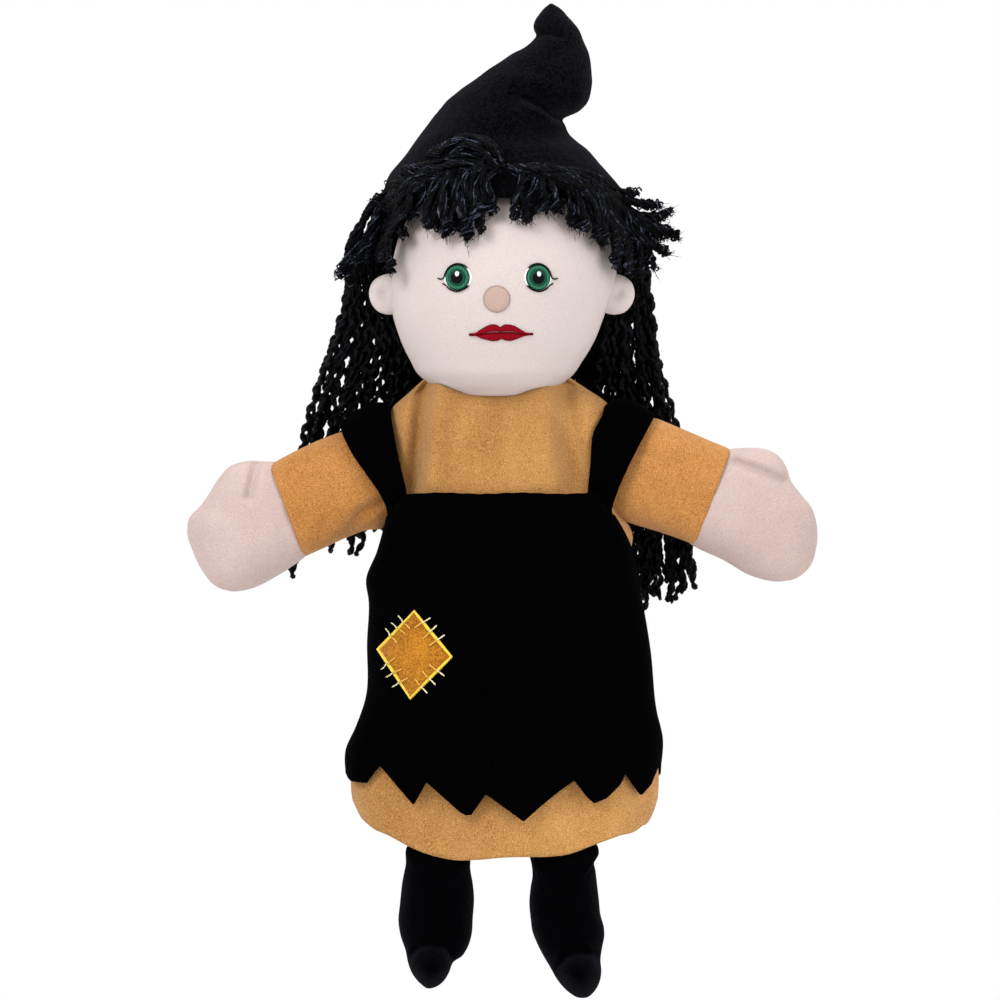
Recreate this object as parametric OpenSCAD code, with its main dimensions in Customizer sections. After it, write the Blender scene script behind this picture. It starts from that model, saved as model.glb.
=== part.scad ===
// Witch hand puppet: a plush glove body with a padded head, hat, yarn hair, arms and dangling legs.
// Millimetres, +Z up, the puppet faces -Y. The origin is the middle of the hand opening at the skirt's hem.

/* [Glove] */
// Width of the skirt at its widest
skirt_w = 117; // [105:1:130]
// Width of the dress at the waist
waist_w = 102; // [92:1:110]
// Width of the dress at the chest
chest_w = 86; // [80:1:92]
// Depth of the dress, front to back
dress_d = 52; // [46:1:58]
// Height of the neckline above the hem, at the front
neck_h = 170; // [168:1:172]
// Thickness of the plush cloth
cloth_t = 1.6; // [1.2:0.1:2.0]
// How far the hem rises at the side seams
hem_rise = 20; // [10:1:26]

/* [Tunic] */
// Height of the straight top edge of the bib
bib_h = 139; // [132:1:144]
// Height of the points of the zigzag hem
point_h = 16; // [12:1:22]
// Depth of the zigzag
zigzag_d = 13; // [8:1:16]
// Number of points on each panel
points = 6; // [4:1:8]
// Width of a shoulder strap
strap_w = 17; // [12:1:19]

/* [Patch] */
// Half width of the diamond patch
patch_hw = 14.6; // [10:0.2:16]
// Half height of the diamond patch
patch_hh = 17; // [12:0.5:19]
// Width of the satin-stitch border
border_w = 1.6; // [1.2:0.1:2.4]
// Stitches across each side of the patch
stitches = 3; // [2:1:4]

/* [Head] */
// Radius of the padded head
head_r = 43.5; // [42:0.5:44]
// Height of the head's middle above the hem
head_z = 220.5; // [219.5:0.5:222]
// Inside radius of the finger's way into the head
finger_r = 10; // [8.5:0.5:10]
// Sideways place of the face's middle line
face_x = -2.3; // [-4:0.1:4]
// Half distance between the eyes
eye_gap = 15.3; // [13:0.1:18]
// Radius of a stitched eye
eye_r = 5.8; // [4.8:0.1:6.4]

/* [Hat] */
// Radius of the hat's base
hat_r = 46; // [45:0.5:47]
// Height of the hat above its base
hat_h = 72; // [66:1:76]
// How far the tip leans sideways
hat_lean = 18; // [0:1:20]

/* [Arms] */
// Sideways place of the shoulder's turning point
shoulder_x = 54; // [53:0.5:56]
// Height of the shoulder's turning point
shoulder_z = 145; // [144:0.5:147]
// Angle of the arms below level
arm_droop = 22; // [18:1:24]
// Height of the sleeve
sleeve_h = 39; // [36:0.5:40]
// Depth of the sleeve, front to back
sleeve_d = 30; // [26:0.5:31]
// Distance from the turning point to the cuff
cuff_s = 30; // [29:0.5:32]
// Length of the hand beyond the cuff
hand_len = 41; // [36:1:42]
// Height of the hand
hand_h = 47; // [42:1:48]

/* [Legs] */
// Half distance between the legs
leg_gap = 24; // [20:0.5:27]
// Width of a leg
leg_w = 26; // [22:0.5:28]
// Height of the ankle below the hem
ankle_drop = 27; // [24:1:30]
// Lowest point of a boot below the hem
toe_drop = 53; // [48:1:54]

/* [Hair] */
// Lowest point of the long strands, above the hem
hair_low = 98; // [92:1:110]
// Thickness of the hanging hair at the back
hair_t = 7; // [4:0.5:8]

/* [Hidden] */
$fn = 48;

tan_plush = "#DEA55F";
black_velour = "#17161B";
skin_plush = "#E6D6D2";
yarn_black = "#1B1E2A";
mustard = "#CF952F";
thread_yellow = "#F0CC3A";
wadding = "#F2F0EA";

gap = 0.3;                       // room between cloths that lie on each other
tunic_gap = 1;                   // room between the dress and the tunic
square_ness = 2.6;               // how full the dress's oval section is
stub_r = 23.8;                   // the dress ends at this distance from the shoulder's turning point
seam_r = 24.5;                   // the armhole seam lies between this distance
sleeve_r = 25.6;                 // and the sleeve, which starts here
body_levels = [0, 0.06, 0.14, 0.22, 0.32, 0.44, 0.56, 0.68, 0.76, 0.83, 0.89, 0.94, 1];
leg_y = -11;
leg_pivot_z = -3;
split_z = 189;                   // the hair above this height turns with the head

// Half width and half depth of the dress at each height
width_table = [
    [0, skirt_w / 2 - 1.5], [20, skirt_w / 2], [42, skirt_w / 2 - 1], [60, waist_w / 2 + 2],
    [85, waist_w / 2], [105, waist_w / 2 - 2], [120, waist_w / 2 - 5], [132, chest_w / 2 + 1],
    [158, chest_w / 2], [168, chest_w / 2 - 6], [175, chest_w / 2 - 12], [181, chest_w / 2 - 18]
];
depth_table = [
    [0, dress_d / 2 + 1], [40, dress_d / 2 + 1.5], [100, dress_d / 2], [130, dress_d / 2 - 2.5],
    [150, dress_d / 2 - 4], [164, dress_d / 2 - 5.5], [172, dress_d / 2 - 7]
];

// Left edge, right edge and half depth of the hat at each height above its base
hat_left = [[0, -hat_r], [6, -45], [13, -39], [24, -31], [35, -21.5], [45, -9], [52, 1], [59, 11],
    [66, 12.5], [72, 15]];
hat_right = [[0, hat_r], [10, 37.5], [19, 28.5], [25, 24.5], [30, 24.5], [34, 30.5], [40, 33], [47, 33.5],
    [54, 32.3], [60, 29.4], [66, 26.3], [72, 20]];
hat_depth = [[0, hat_r - 3], [13, 36], [24, 27], [35, 19], [45, 13], [55, 9.5], [66, 6], [72, 2]];

// Half height, half depth and offset of the hand along its length, as shares of that length
hand_height = [[0, 0.76], [0.2, 0.86], [0.45, 1], [0.7, 0.94], [0.88, 0.66], [1, 0.2]];
hand_depth = [[0, 0.8], [0.2, 0.86], [0.5, 0.9], [0.75, 0.78], [0.9, 0.5], [1, 0.15]];

function half_w(z) = lookup(z, width_table);
function half_d(z) = lookup(z, depth_table);
function power(v, e) = sign(v) * pow(abs(v), e);

// A point of the dress's skin at an angle and height, moved out by off
function dress_point(ang, z, off) = [
    (half_w(z) + off) * power(cos(ang), 2 / square_ness),
    (half_d(z) + off) * power(sin(ang), 2 / square_ness),
    z
];

// How far forward the dress, moved out by off, stands at a place on its front
function front_y(x, z, off) = let (share = min(1, abs(x) / (half_w(z) + off)))
    -(half_d(z) + off) * pow(1 - pow(share, square_ness), 1 / square_ness);

function hem_z(ang) = hem_rise * pow(abs(cos(ang)), 6);
function neck_z(ang) = neck_h + 9 * pow(cos(ang), 2);
function level_z(ang, t) = hem_z(ang) + t * (neck_z(ang) - hem_z(ang));
function arc(from, to, count) = [for (i = [0 : count - 1]) from + (to - from) * i / (count - 1)];
function flat(lists) = [for (a = lists) for (b = a) b];

// Triangles of a strip between two rows of points
function strip(row_a, row_b, count, flip) = flat([
    for (i = [0 : count - 1])
        let (a = row_a[i], b = row_b[i], c = row_b[i + 1], d = row_a[i + 1])
        flip ? [[a, c, b], [a, d, c]] : [[a, b, c], [a, c, d]]
]);
function row(start, k, m, wrap) = [for (i = [0 : m - (wrap ? 0 : 1)]) start + k * m + i % m];
function sides(start, rings, m, wrap, flip) = flat([
    for (k = [0 : rings - 2])
        strip(row(start, k, m, wrap), row(start, k + 1, m, wrap), wrap ? m : m - 1, flip)
]);

// Cloth between two grids of points, open at both ends; wrap closes it around
module cloth(outer, inner, wrap = false) {
    k = len(outer);
    m = len(outer[0]);
    n = k * m;
    quads = wrap ? m : m - 1;
    rim = concat(
        strip(row(n, 0, m, wrap), row(0, 0, m, wrap), quads, false),
        strip(row(0, k - 1, m, wrap), row(n, k - 1, m, wrap), quads, false)
    );
    left = [for (j = [0 : k - 1]) j * m];
    right = [for (j = [0 : k - 1]) j * m + m - 1];
    edges = wrap ? [] : concat(
        strip([for (v = left) v + n], left, k - 1, true),
        strip(right, [for (v = right) v + n], k - 1, true)
    );
    polyhedron(
        points = concat(flat(outer), flat(inner)),
        faces = concat(sides(0, k, m, wrap, false), sides(n, k, m, wrap, true), rim, edges)
    );
}

// Closed solid through a list of rings
module skin(rings) {
    k = len(rings);
    m = len(rings[0]);
    polyhedron(
        points = flat(rings),
        faces = concat(
            sides(0, k, m, true, false),
            [[for (i = [0 : m - 1]) i]],
            [[for (i = [0 : m - 1]) k * m - 1 - i]]
        )
    );
}

// Pocket of cloth: open at the first ring and closed at the last
module pocket(outer, inner) {
    k = len(outer);
    m = len(outer[0]);
    n = k * m;
    polyhedron(
        points = concat(flat(outer), flat(inner)),
        faces = concat(
            sides(0, k, m, true, false),
            sides(n, k, m, true, true),
            strip(row(n, 0, m, true), row(0, 0, m, true), m, false),
            [[for (i = [0 : m - 1]) n - 1 - i]],
            [[for (i = [0 : m - 1]) n + n - m + i]]
        )
    );
}

// Ring of m points round an oval at one height, with its middle at cx, cy and half axes a, b
function oval(cx, cy, z, a, b, m) = [for (i = [0 : m - 1])
    [cx + a * cos(360 * i / m), cy + b * sin(360 * i / m), z]];

// ---- glove ----
function panel_grid(angles, levels, off) = [for (t = levels)
    [for (g = angles) dress_point(g, level_z(g, t), off)]];

// Ring of m points round the arm at s along it, of height h and depth d
function arm_ring(s, h, d, m) = [for (i = [0 : m - 1])
    [s, d / 2 * cos(360 * i / m), h / 2 * sin(360 * i / m)]];

module arm_place(side) {
    mirror([side < 0 ? 1 : 0, 0, 0])
        translate([shoulder_x, 0, shoulder_z])
            rotate([0, arm_droop, 0]) children();
}

// Solid of the sleeve's outline, made less high and less deep
module arm_solid(from, to, less) {
    skin([for (s = [from, to]) arm_ring(s, sleeve_h - less, sleeve_d - less, 32)]);
}

// What the dress encloses, moved out by off
module torso_solid(off) {
    ring_angles = [for (i = [0 : 39]) 9 * i];
    skin(panel_grid(ring_angles, [-0.01, 0.3, 0.6, 0.76, 0.83, 0.89, 0.94, 1.01], off));
}

// Front or back panel, with a hole for each arm
module dress_half(angles) {
    difference() {
        cloth(panel_grid(angles, body_levels, 0), panel_grid(angles, body_levels, -cloth_t));
        for (side = [-1, 1]) arm_place(side) arm_solid(-20, 30, 2 * cloth_t);
    }
}

// Front or back half of the short sleeve head sewn into the dress
module shoulder_stub(side, front) {
    intersection() {
        difference() {
            arm_place(side) arm_solid(-16, 26, 0);
            arm_place(side) arm_solid(-17, 27, 2 * cloth_t);
            torso_solid(-0.05);
        }
        translate([side * shoulder_x, 0, shoulder_z]) sphere(stub_r);
        translate([side > 0 ? 20 : -100, front ? -40 : 0, 100]) cube([80, 40, 90]);
    }
}

module dress_front() {
    color(tan_plush) {
        dress_half(arc(180, 360, 21));
        for (side = [-1, 1]) shoulder_stub(side, true);
    }
}

module dress_back() {
    color(tan_plush) {
        dress_half(arc(0, 180, 21));
        for (side = [-1, 1]) shoulder_stub(side, false);
    }
}

// Turned-up edge inside the skirt
module dress_hem() {
    hem_angles = [for (i = [0 : 35]) 10 * i];
    hem_levels = [0.004, 0.1];
    color(tan_plush) cloth(
        panel_grid(hem_angles, hem_levels, -cloth_t - gap),
        panel_grid(hem_angles, hem_levels, -2 * cloth_t - gap),
        true
    );
}

// ---- tunic ----
// Heights of the tunic's edges; u runs from 0 at one side seam to 1 at the other
function zigzag(u) = let (f = u * points - floor(u * points)) zigzag_d * abs(2 * f - 1);
function tunic_low(u) = point_h + zigzag(u) + 6 * pow(abs(2 * u - 1), 3);
function tunic_top(u) = bib_h - 13 * pow(abs(2 * u - 1), 4);
function tunic_z(u, t) = tunic_low(u) + t * (tunic_top(u) - tunic_low(u));

module tunic_half(from) {
    cols = 4 * points;
    levels = [0, 0.2, 0.45, 0.7, 0.86, 1];
    function grid(off) = [for (t = levels) [for (i = [0 : cols])
        dress_point(from + 180 * i / cols, tunic_z(i / cols, t), off)]];
    color(black_velour) difference() {
        cloth(grid(tunic_gap + cloth_t), grid(tunic_gap));
        for (side = [-1, 1]) arm_place(side) arm_solid(-20, 30, -2 * tunic_gap);
    }
}

module tunic_front() {
    tunic_half(180);
}

module tunic_back() {
    tunic_half(0);
}

// Strap over one shoulder, from the bib to the back
module strap(side) {
    sweep = arc(0, 180, 15);
    reach = sleeve_d / 2 + 2.2;
    rise = 29;
    low_x = 41;
    spread = 9.5;
    function line(ang, out) = let (
        tilt = arm_droop * sin(ang),
        x = side * (low_x + spread * sin(ang)),
        y = -(reach + out) * cos(ang),
        z = bib_h + 2.5 + (rise + out) * sin(ang)
    ) [for (h = [-strap_w / 2, strap_w / 2]) [x - side * h * cos(tilt), y, z + h * sin(tilt)]];
    function grid(out) = [for (ang = sweep) line(ang, out)];
    color(black_velour)
        if (side > 0) cloth(grid(cloth_t), grid(0));
        else cloth(grid(0), grid(cloth_t));
}

module strap_left() {
    strap(1);
}

module strap_right() {
    strap(-1);
}

// ---- patch ----
patch_x = -34.7;
patch_z = 77.4;
patch_off = tunic_gap + cloth_t + 2 * gap;
function on_tunic(x, z, off) = [x, front_y(x, z, patch_off) - off, z];
function patch_point(u, v, grow) = [
    patch_x + (u - v) * (patch_hw + grow) / 2,
    patch_z + (u + v) * (patch_hh + grow) / 2
];

module patch() {
    steps = [-1, -0.5, 0, 0.5, 1];
    function grid(off) = [for (v = steps) [for (u = steps)
        let (p = patch_point(u, v, -border_w / 2)) on_tunic(p.x, p.y, off)]];
    color(mustard) cloth(grid(1.1), grid(0));
}

// Line round the patch's edge
function patch_edge(grow, off) = flat([for (corner = [0 : 3]) [for (i = [0 : 5])
    let (
        f = i / 3 - 1,
        uv = [[f, -1], [1, f], [-f, 1], [-1, -f]][corner],
        p = patch_point(uv.x, uv.y, grow)
    ) on_tunic(p.x, p.y, off)]]);

module patch_border() {
    color(thread_yellow) cloth(
        [patch_edge(border_w / 2, 0), patch_edge(border_w / 2, 1.6)],
        [patch_edge(-border_w / 2 + 0.1, 0), patch_edge(-border_w / 2 + 0.1, 1.6)],
        true
    );
}

// One whip stitch lying across the border
module stitch(mid, turn) {
    half_long = 3;
    half_wide = 0.5;
    function grid(off) = [for (a = [-half_long, 0, half_long]) [for (b = [-half_wide, half_wide])
        on_tunic(mid.x - a * sin(turn) - b * cos(turn), mid.y + a * cos(turn) - b * sin(turn), off)]];
    cloth(grid(2.5), grid(1.7));
}

module patch_stitches() {
    color(thread_yellow)
        for (corner = [0 : 3]) for (i = [0 : stitches - 1]) {
            f = 2 * (i + 0.5) / stitches - 1;
            uv = [[f, -1], [1, f], [-f, 1], [-1, -f]][corner];
            stitch(patch_point(uv.x, uv.y, 0), [-45, 45, 135, 225][corner]);
        }
}

// ---- neck ----
module ring_solid(r_in, r_out, low, high) {
    rotate_extrude() translate([r_in, low]) square([r_out - r_in, high - low]);
}

// Lining of the finger's way from the dress into the head
module neck_tube() {
    color(wadding) ring_solid(finger_r, finger_r + 1, 164, 188);
}

// Gathered ring where the dress meets the head
module neck_gather() {
    color(tan_plush) rotate_extrude() translate([finger_r + 3.2, 174]) circle(2);
}

// ---- head ----
neck_hole_r = finger_r + 3.2;
below_head = 150;                // a height under the whole head
module head_ball(off) {
    translate([0, 0, head_z]) sphere(head_r + off, $fn = 96);
}

module head_shell() {
    difference() {
        head_ball(0);
        head_ball(-cloth_t);
        translate([0, 0, below_head]) cylinder(r = neck_hole_r, h = 60);
    }
}

module face_panel() {
    color(skin_plush) intersection() {
        head_shell();
        translate([-60, -60, below_head]) cube([120, 60, 130]);
    }
}

module head_back() {
    color(skin_plush) intersection() {
        head_shell();
        translate([-60, 0, below_head]) cube([120, 60, 130]);
    }
}

module head_stuffing() {
    color(wadding) difference() {
        head_ball(-cloth_t - gap);
        translate([0, 0, below_head]) cylinder(r = neck_hole_r, h = head_z - below_head);
        translate([0, 0, head_z]) sphere(neck_hole_r);
    }
}

// Closed pocket in the stuffing, for the finger that moves the head
module finger_pocket() {
    inner = finger_r + 1.7;
    wall = 1.2;
    low = 177.5;
    color(wadding) difference() {
        union() {
            translate([0, 0, low]) cylinder(r = inner + wall, h = head_z - low);
            translate([0, 0, head_z]) sphere(inner + wall);
        }
        translate([0, 0, low - 1]) cylinder(r = inner, h = head_z - low + 1);
        translate([0, 0, head_z]) sphere(inner);
    }
}

// Ear: a lens whose faces look forward and back, cut to the curve of the head
module ear(side) {
    ear_r = 8.2;
    ear_t = 7;
    ear_z = 215.5;
    lens_r = (ear_r * ear_r + ear_t * ear_t / 4) / ear_t;
    color(skin_plush) difference() {
        translate([side * 43, 3, ear_z]) intersection() {
            translate([0, lens_r - ear_t / 2, 0]) sphere(lens_r, $fn = 96);
            translate([0, ear_t / 2 - lens_r, 0]) sphere(lens_r, $fn = 96);
        }
        head_ball(gap);
    }
}

module ear_left() {
    ear(1);
}

module ear_right() {
    ear(-1);
}

// Shell of the face's surface between two offsets, cut to the shape of its children
module on_face(low, high) {
    intersection() {
        rotate([90, 0, 0]) linear_extrude(60) children();
        difference() {
            head_ball(high);
            head_ball(low);
        }
    }
}

eye_z = 221;
nose_z = 213;
mouth_z = 200.3;

module at_eyes() {
    for (side = [-1, 1]) translate([face_x + side * eye_gap, eye_z]) children();
}

module nose() {
    color("#EBCDBE") on_face(0.15, 2.2) translate([face_x - 0.4, nose_z]) circle(4.7);
}

module nose_stitching() {
    color("#D9B3A4") on_face(0.1, 1) translate([face_x - 0.4, nose_z]) difference() {
        circle(5.4);
        circle(4.75);
    }
}

module eye_whites() {
    color("#F4F4F2") on_face(0.1, 0.5) at_eyes() circle(eye_r - 0.8);
}

module irises() {
    color("#2F8F63") on_face(0.55, 0.95) at_eyes() difference() {
        circle(eye_r - 1.8);
        circle(2.5);
    }
}

module pupils() {
    color("#0A0B0C") on_face(0.55, 1.05) at_eyes() circle(2.45);
}

module eye_highlights() {
    color("white") on_face(1.1, 1.5) at_eyes() translate([0.4, 1]) circle(0.8);
}

module eye_outlines() {
    color("#101214") on_face(0.1, 0.9) at_eyes() difference() {
        circle(eye_r);
        circle(eye_r - 0.7);
    }
}

module lashes() {
    color("#101214") on_face(0.1, 0.8)
        for (side = [-1, 1]) for (turn = [15, 42])
            translate([face_x + side * eye_gap, eye_z]) rotate(side > 0 ? turn : 180 - turn)
                translate([eye_r + 0.1, -0.3]) square([2.6, 0.6]);
}

// Outline of the mouth: bow above, full curve below
module mouth() {
    polygon([
        [-9, 0.3], [-5.2, 2.1], [-2.4, 3.4], [0, 2.5], [2.4, 3.4], [5.2, 2.1], [9, 0.3], [5, -2.4],
        [2.2, -3.4], [-2.2, -3.4], [-5, -2.4]
    ]);
}

// Thin line where the lips meet
module lip_slit() {
    polygon([
        [-12.4, 0.9], [-7, 0], [-2, 0.3], [0, -0.1], [2, 0.3], [7, 0], [12.4, 0.9], [7, -0.6],
        [0, -0.7], [-7, -0.6]
    ]);
}

module lips() {
    color("#B01530") on_face(0.1, 1.1) translate([face_x + 1.2, mouth_z]) difference() {
        mouth();
        lip_slit();
    }
}

module lip_line() {
    color("#6D0F1E") on_face(0.1, 0.8)
        translate([face_x + 1.2, mouth_z - 0.12]) scale([0.95, 0.65]) lip_slit();
}

// ---- hat ----
hat_base_z = head_z + 34;
function hat_ring(h, less, m = 36) = let (
    k = hat_h / 72,
    lean = (hat_lean - 18) * pow(h / hat_h, 2),
    left = lookup(h / k, hat_left) + less + lean,
    right = lookup(h / k, hat_right) - less + lean
) oval((left + right) / 2, 1, hat_base_z + h, (right - left) / 2, lookup(h / k, hat_depth) - less, m);
hat_levels = [0, 6, 13, 20, 26, 31, 36, 42, 48, 54, 60, 66, 70, 72] * hat_h / 72;

module hat_shell() {
    inner_levels = [for (h = hat_levels) h - 2 * h / hat_h];
    color(black_velour) pocket(
        [for (h = hat_levels) hat_ring(h, 0)],
        [for (h = inner_levels) hat_ring(h, cloth_t)]
    );
}

module hat_rim() {
    color(black_velour) cloth(
        [for (h = [0.2, 6]) hat_ring(h, cloth_t + gap)],
        [for (h = [0.2, 6]) hat_ring(h, 2 * cloth_t + gap)],
        true
    );
}

module hat_stuffing() {
    levels = [11.5, 16, 22, 28, 33, 40, 48, 56, 62] * hat_h / 72;
    color(wadding) skin([for (h = levels) hat_ring(h, cloth_t + 2, 24)]);
}

// ---- hair ----
// Band of yarn around the brow, between two compass angles
module brow_band(from, to) {
    rotate([0, 0, from]) rotate_extrude(angle = to - from, $fn = 96) polygon([
        [45.5, 238], [53, 237], [54.5, 250], [53.5, 262], [46, 272], [43.5, 269], [48, 258], [46.7, 252]
    ]);
}

module fringe_left() {
    color(yarn_black) brow_band(272, 368);
}

module fringe_right() {
    color(yarn_black) brow_band(172, 268);
}

// Flat bunch of strands; each end is given as its left edge, right edge, y and z
module bunch(top, bottom, thick) {
    r = thick / 2;
    hull() for (end = [top, bottom]) for (x = [end[0] + r, end[1] - r])
        translate([x, end[2], end[3]]) sphere(r, $fn = 16);
}

// Hanging part of a side's hair, behind the sleeve
module side_tail(side) {
    mirror([side < 0 ? 1 : 0, 0, 0])
        bunch([43, 70, 27.5, split_z - 6], [48, 80, 27, hair_low + 4.5], 9);
}

// Upper part of a side's hair, which turns with the head
module side_lock(side) {
    mirror([side < 0 ? 1 : 0, 0, 0])
        bunch([46.5, 60, 15, 250], [46, 66, 16, split_z + 6], 10);
}

module hair_tail_left() {
    color(yarn_black) side_tail(1);
}

module hair_tail_right() {
    color(yarn_black) side_tail(-1);
}

module hair_tail_back() {
    color(yarn_black)
        bunch([-42, 42, 41, split_z - 5], [-46, 46, 39.5, hair_low + hair_t / 2], hair_t);
}

module hair_left() {
    color(yarn_black) side_lock(1);
}

module hair_right() {
    color(yarn_black) side_lock(-1);
}

module hair_back() {
    color(yarn_black) intersection() {
        rotate([0, 0, 28]) rotate_extrude(angle = 124, $fn = 96) polygon([
            [37, 193], [44, 193], [50.5, 205], [53, 225], [52, 242], [48, 253], [44.5, 250],
            [45.5, 240], [46, 220], [44, 206]
        ]);
        translate([-60, 0, split_z + 1]) cube([120, 60, 70]);
    }
}

// Band inside the hat's edge that the yarn is sewn to
module hair_tape() {
    color(yarn_black) ring_solid(40.5, 41.7, hat_base_z - 6, hat_base_z - 1);
}

// ---- arms ----
// Thin ring between the dress and the sleeve
module armhole_seam(side) {
    color(tan_plush) intersection() {
        arm_place(side) difference() {
            arm_solid(4, 30, 0);
            arm_solid(3, 31, 2 * cloth_t);
        }
        translate([side * shoulder_x, 0, shoulder_z]) difference() {
            sphere(seam_r + 0.8);
            sphere(seam_r);
        }
    }
}

module sleeve(side) {
    color(tan_plush) difference() {
        arm_place(side) cloth(
            [for (s = [10, cuff_s]) arm_ring(s, sleeve_h, sleeve_d, 32)],
            [for (s = [10, cuff_s]) arm_ring(s, sleeve_h - 2 * cloth_t, sleeve_d - 2 * cloth_t, 32)],
            true
        );
        translate([side * shoulder_x, 0, shoulder_z]) sphere(sleeve_r);
    }
}

function hand_ring(t, less, m) = arm_ring(
    cuff_s - 2 + t * (hand_len + 2),
    max(3, hand_h * lookup(t, hand_height) - 2 * less),
    max(2, 27 * lookup(t, hand_depth) - 2 * less),
    m
);
hand_levels = [0, 0.12, 0.25, 0.4, 0.55, 0.7, 0.82, 0.92, 1];

// Mitten-shaped hand, a little smaller where it goes into the sleeve
module hand(side) {
    inner = [for (t = hand_levels) t * (1 - 1.6 / hand_len)];
    color(skin_plush) arm_place(side) pocket(
        [for (t = hand_levels) hand_ring(t, t < 0.05 ? 0.3 : 0, 28)],
        [for (t = inner) hand_ring(t, t < 0.05 ? cloth_t + 0.3 : cloth_t, 28)]
    );
}

module hand_padding(side) {
    color(wadding) arm_place(side)
        skin([for (t = [0.66, 0.72, 0.8, 0.87]) hand_ring(t, cloth_t + 0.6, 20)]);
}

module armhole_seam_left() {
    armhole_seam(1);
}

module armhole_seam_right() {
    armhole_seam(-1);
}

module sleeve_left() {
    sleeve(1);
}

module sleeve_right() {
    sleeve(-1);
}

module hand_left() {
    hand(1);
}

module hand_right() {
    hand(-1);
}

module hand_padding_left() {
    hand_padding(1);
}

module hand_padding_right() {
    hand_padding(-1);
}

// ---- legs ----
// Half width of the leg at each height
leg_half = [
    [-ankle_drop, leg_w / 2 + 0.8], [-14, leg_w / 2 + 0.5], [leg_pivot_z, leg_w / 2 - 1],
    [4, leg_w / 2 - 3], [7.5, 5]
];
leg_half_d = 11;
function leg_ring(z, less, m) = let (half = lookup(z, leg_half))
    oval(0, leg_y, z, half - less, min(leg_half_d, half) - less, m);

module leg_place(side) {
    translate([side * leg_gap, 0, 0]) children();
}

module leg(side) {
    heights = [-ankle_drop, -18, -9, leg_pivot_z, 2, 6, 7.5];
    closed_top = 1.6;
    color(black_velour) leg_place(side) pocket(
        [for (z = heights) leg_ring(z, 0, 28)],
        [for (z = heights) leg_ring(z - (z > 4 ? closed_top : 0), cloth_t, 28)]
    );
}

module leg_stuffing(side) {
    heights = [-ankle_drop + 0.2, -18, -9, leg_pivot_z, 2, 4];
    color(wadding) leg_place(side) skin([for (z = heights) leg_ring(z, cloth_t + gap, 20)]);
}

// Path of the foot from the ankle to the toe: height, forward place, half width, half thickness
foot_path = [
    [0, 0, leg_w / 2 + 0.8, 11], [0.25, -1.5, leg_w / 2 + 0.6, 11.5], [0.5, -6, leg_w / 2 - 1, 12],
    [0.7, -11, leg_w / 2 - 3, 11.5], [0.87, -16, leg_w / 2 - 5.5, 9.5], [0.96, -18.5, 5, 6], [1, -19, 2.5, 3]
];
function foot_ring(p, less, m) = oval(
    0, leg_y + p[1], -ankle_drop - 0.1 - p[0] * (toe_drop - ankle_drop - 0.1) + less * (p[0] > 0.9 ? 1 : 0),
    max(1.5, p[2] - less), max(1.5, p[3] - less), m
);

// The foot is built upside down, because its rings run downwards
module boot(side) {
    color(black_velour) leg_place(side) mirror([0, 0, 1]) pocket(
        [for (p = foot_path) mirrored(foot_ring(p, 0, 28))],
        [for (p = foot_path) mirrored(foot_ring(p, cloth_t, 28))]
    );
}
function mirrored(ring) = [for (p = ring) [p.x, p.y, -p.z]];

module boot_stuffing(side) {
    function inner(i) = foot_ring(foot_path[i], cloth_t + (i == 0 ? 0.4 : 0.5), 20);
    color(wadding) leg_place(side) mirror([0, 0, 1])
        skin([for (i = [0 : len(foot_path) - 2]) mirrored(inner(i))]);
}

module leg_left() {
    leg(1);
}

module leg_right() {
    leg(-1);
}

module leg_stuffing_left() {
    leg_stuffing(1);
}

module leg_stuffing_right() {
    leg_stuffing(-1);
}

module boot_left() {
    boot(1);
}

module boot_right() {
    boot(-1);
}

module boot_stuffing_left() {
    boot_stuffing(1);
}

module boot_stuffing_right() {
    boot_stuffing(-1);
}

dress_front();
dress_back();
dress_hem();
tunic_front();
tunic_back();
strap_left();
strap_right();
patch();
patch_border();
patch_stitches();
neck_tube();
neck_gather();
hair_tail_left();
hair_tail_right();
hair_tail_back();
face_panel();
head_back();
head_stuffing();
finger_pocket();
ear_left();
ear_right();
nose();
nose_stitching();
eye_whites();
irises();
pupils();
eye_highlights();
eye_outlines();
lashes();
lips();
lip_line();
hat_shell();
hat_rim();
hat_stuffing();
fringe_left();
fringe_right();
hair_left();
hair_right();
hair_back();
hair_tape();
armhole_seam_left();
armhole_seam_right();
sleeve_left();
sleeve_right();
hand_left();
hand_right();
hand_padding_left();
hand_padding_right();
leg_left();
leg_right();
leg_stuffing_left();
leg_stuffing_right();
boot_left();
boot_right();
boot_stuffing_left();
boot_stuffing_right();
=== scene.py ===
"""Looks of the witch hand puppet. Shapes are worked out in millimetres and stored in metres."""

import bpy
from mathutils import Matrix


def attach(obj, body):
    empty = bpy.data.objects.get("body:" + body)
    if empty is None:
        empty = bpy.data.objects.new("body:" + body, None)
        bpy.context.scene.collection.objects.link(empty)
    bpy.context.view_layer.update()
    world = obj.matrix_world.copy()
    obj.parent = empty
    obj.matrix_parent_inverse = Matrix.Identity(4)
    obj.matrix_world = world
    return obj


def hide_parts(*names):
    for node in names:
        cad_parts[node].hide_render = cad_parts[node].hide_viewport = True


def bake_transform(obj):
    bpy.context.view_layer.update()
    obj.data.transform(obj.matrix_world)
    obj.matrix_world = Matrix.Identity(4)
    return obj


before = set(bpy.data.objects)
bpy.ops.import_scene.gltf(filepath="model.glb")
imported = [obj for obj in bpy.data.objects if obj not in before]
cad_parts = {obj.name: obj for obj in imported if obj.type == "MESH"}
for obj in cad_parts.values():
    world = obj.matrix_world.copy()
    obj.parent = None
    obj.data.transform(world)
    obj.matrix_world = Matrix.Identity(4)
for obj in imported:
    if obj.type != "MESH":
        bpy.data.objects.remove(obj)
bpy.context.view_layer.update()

import math

import bmesh
import bpy
import numpy as np
from mathutils import Vector, noise

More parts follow.
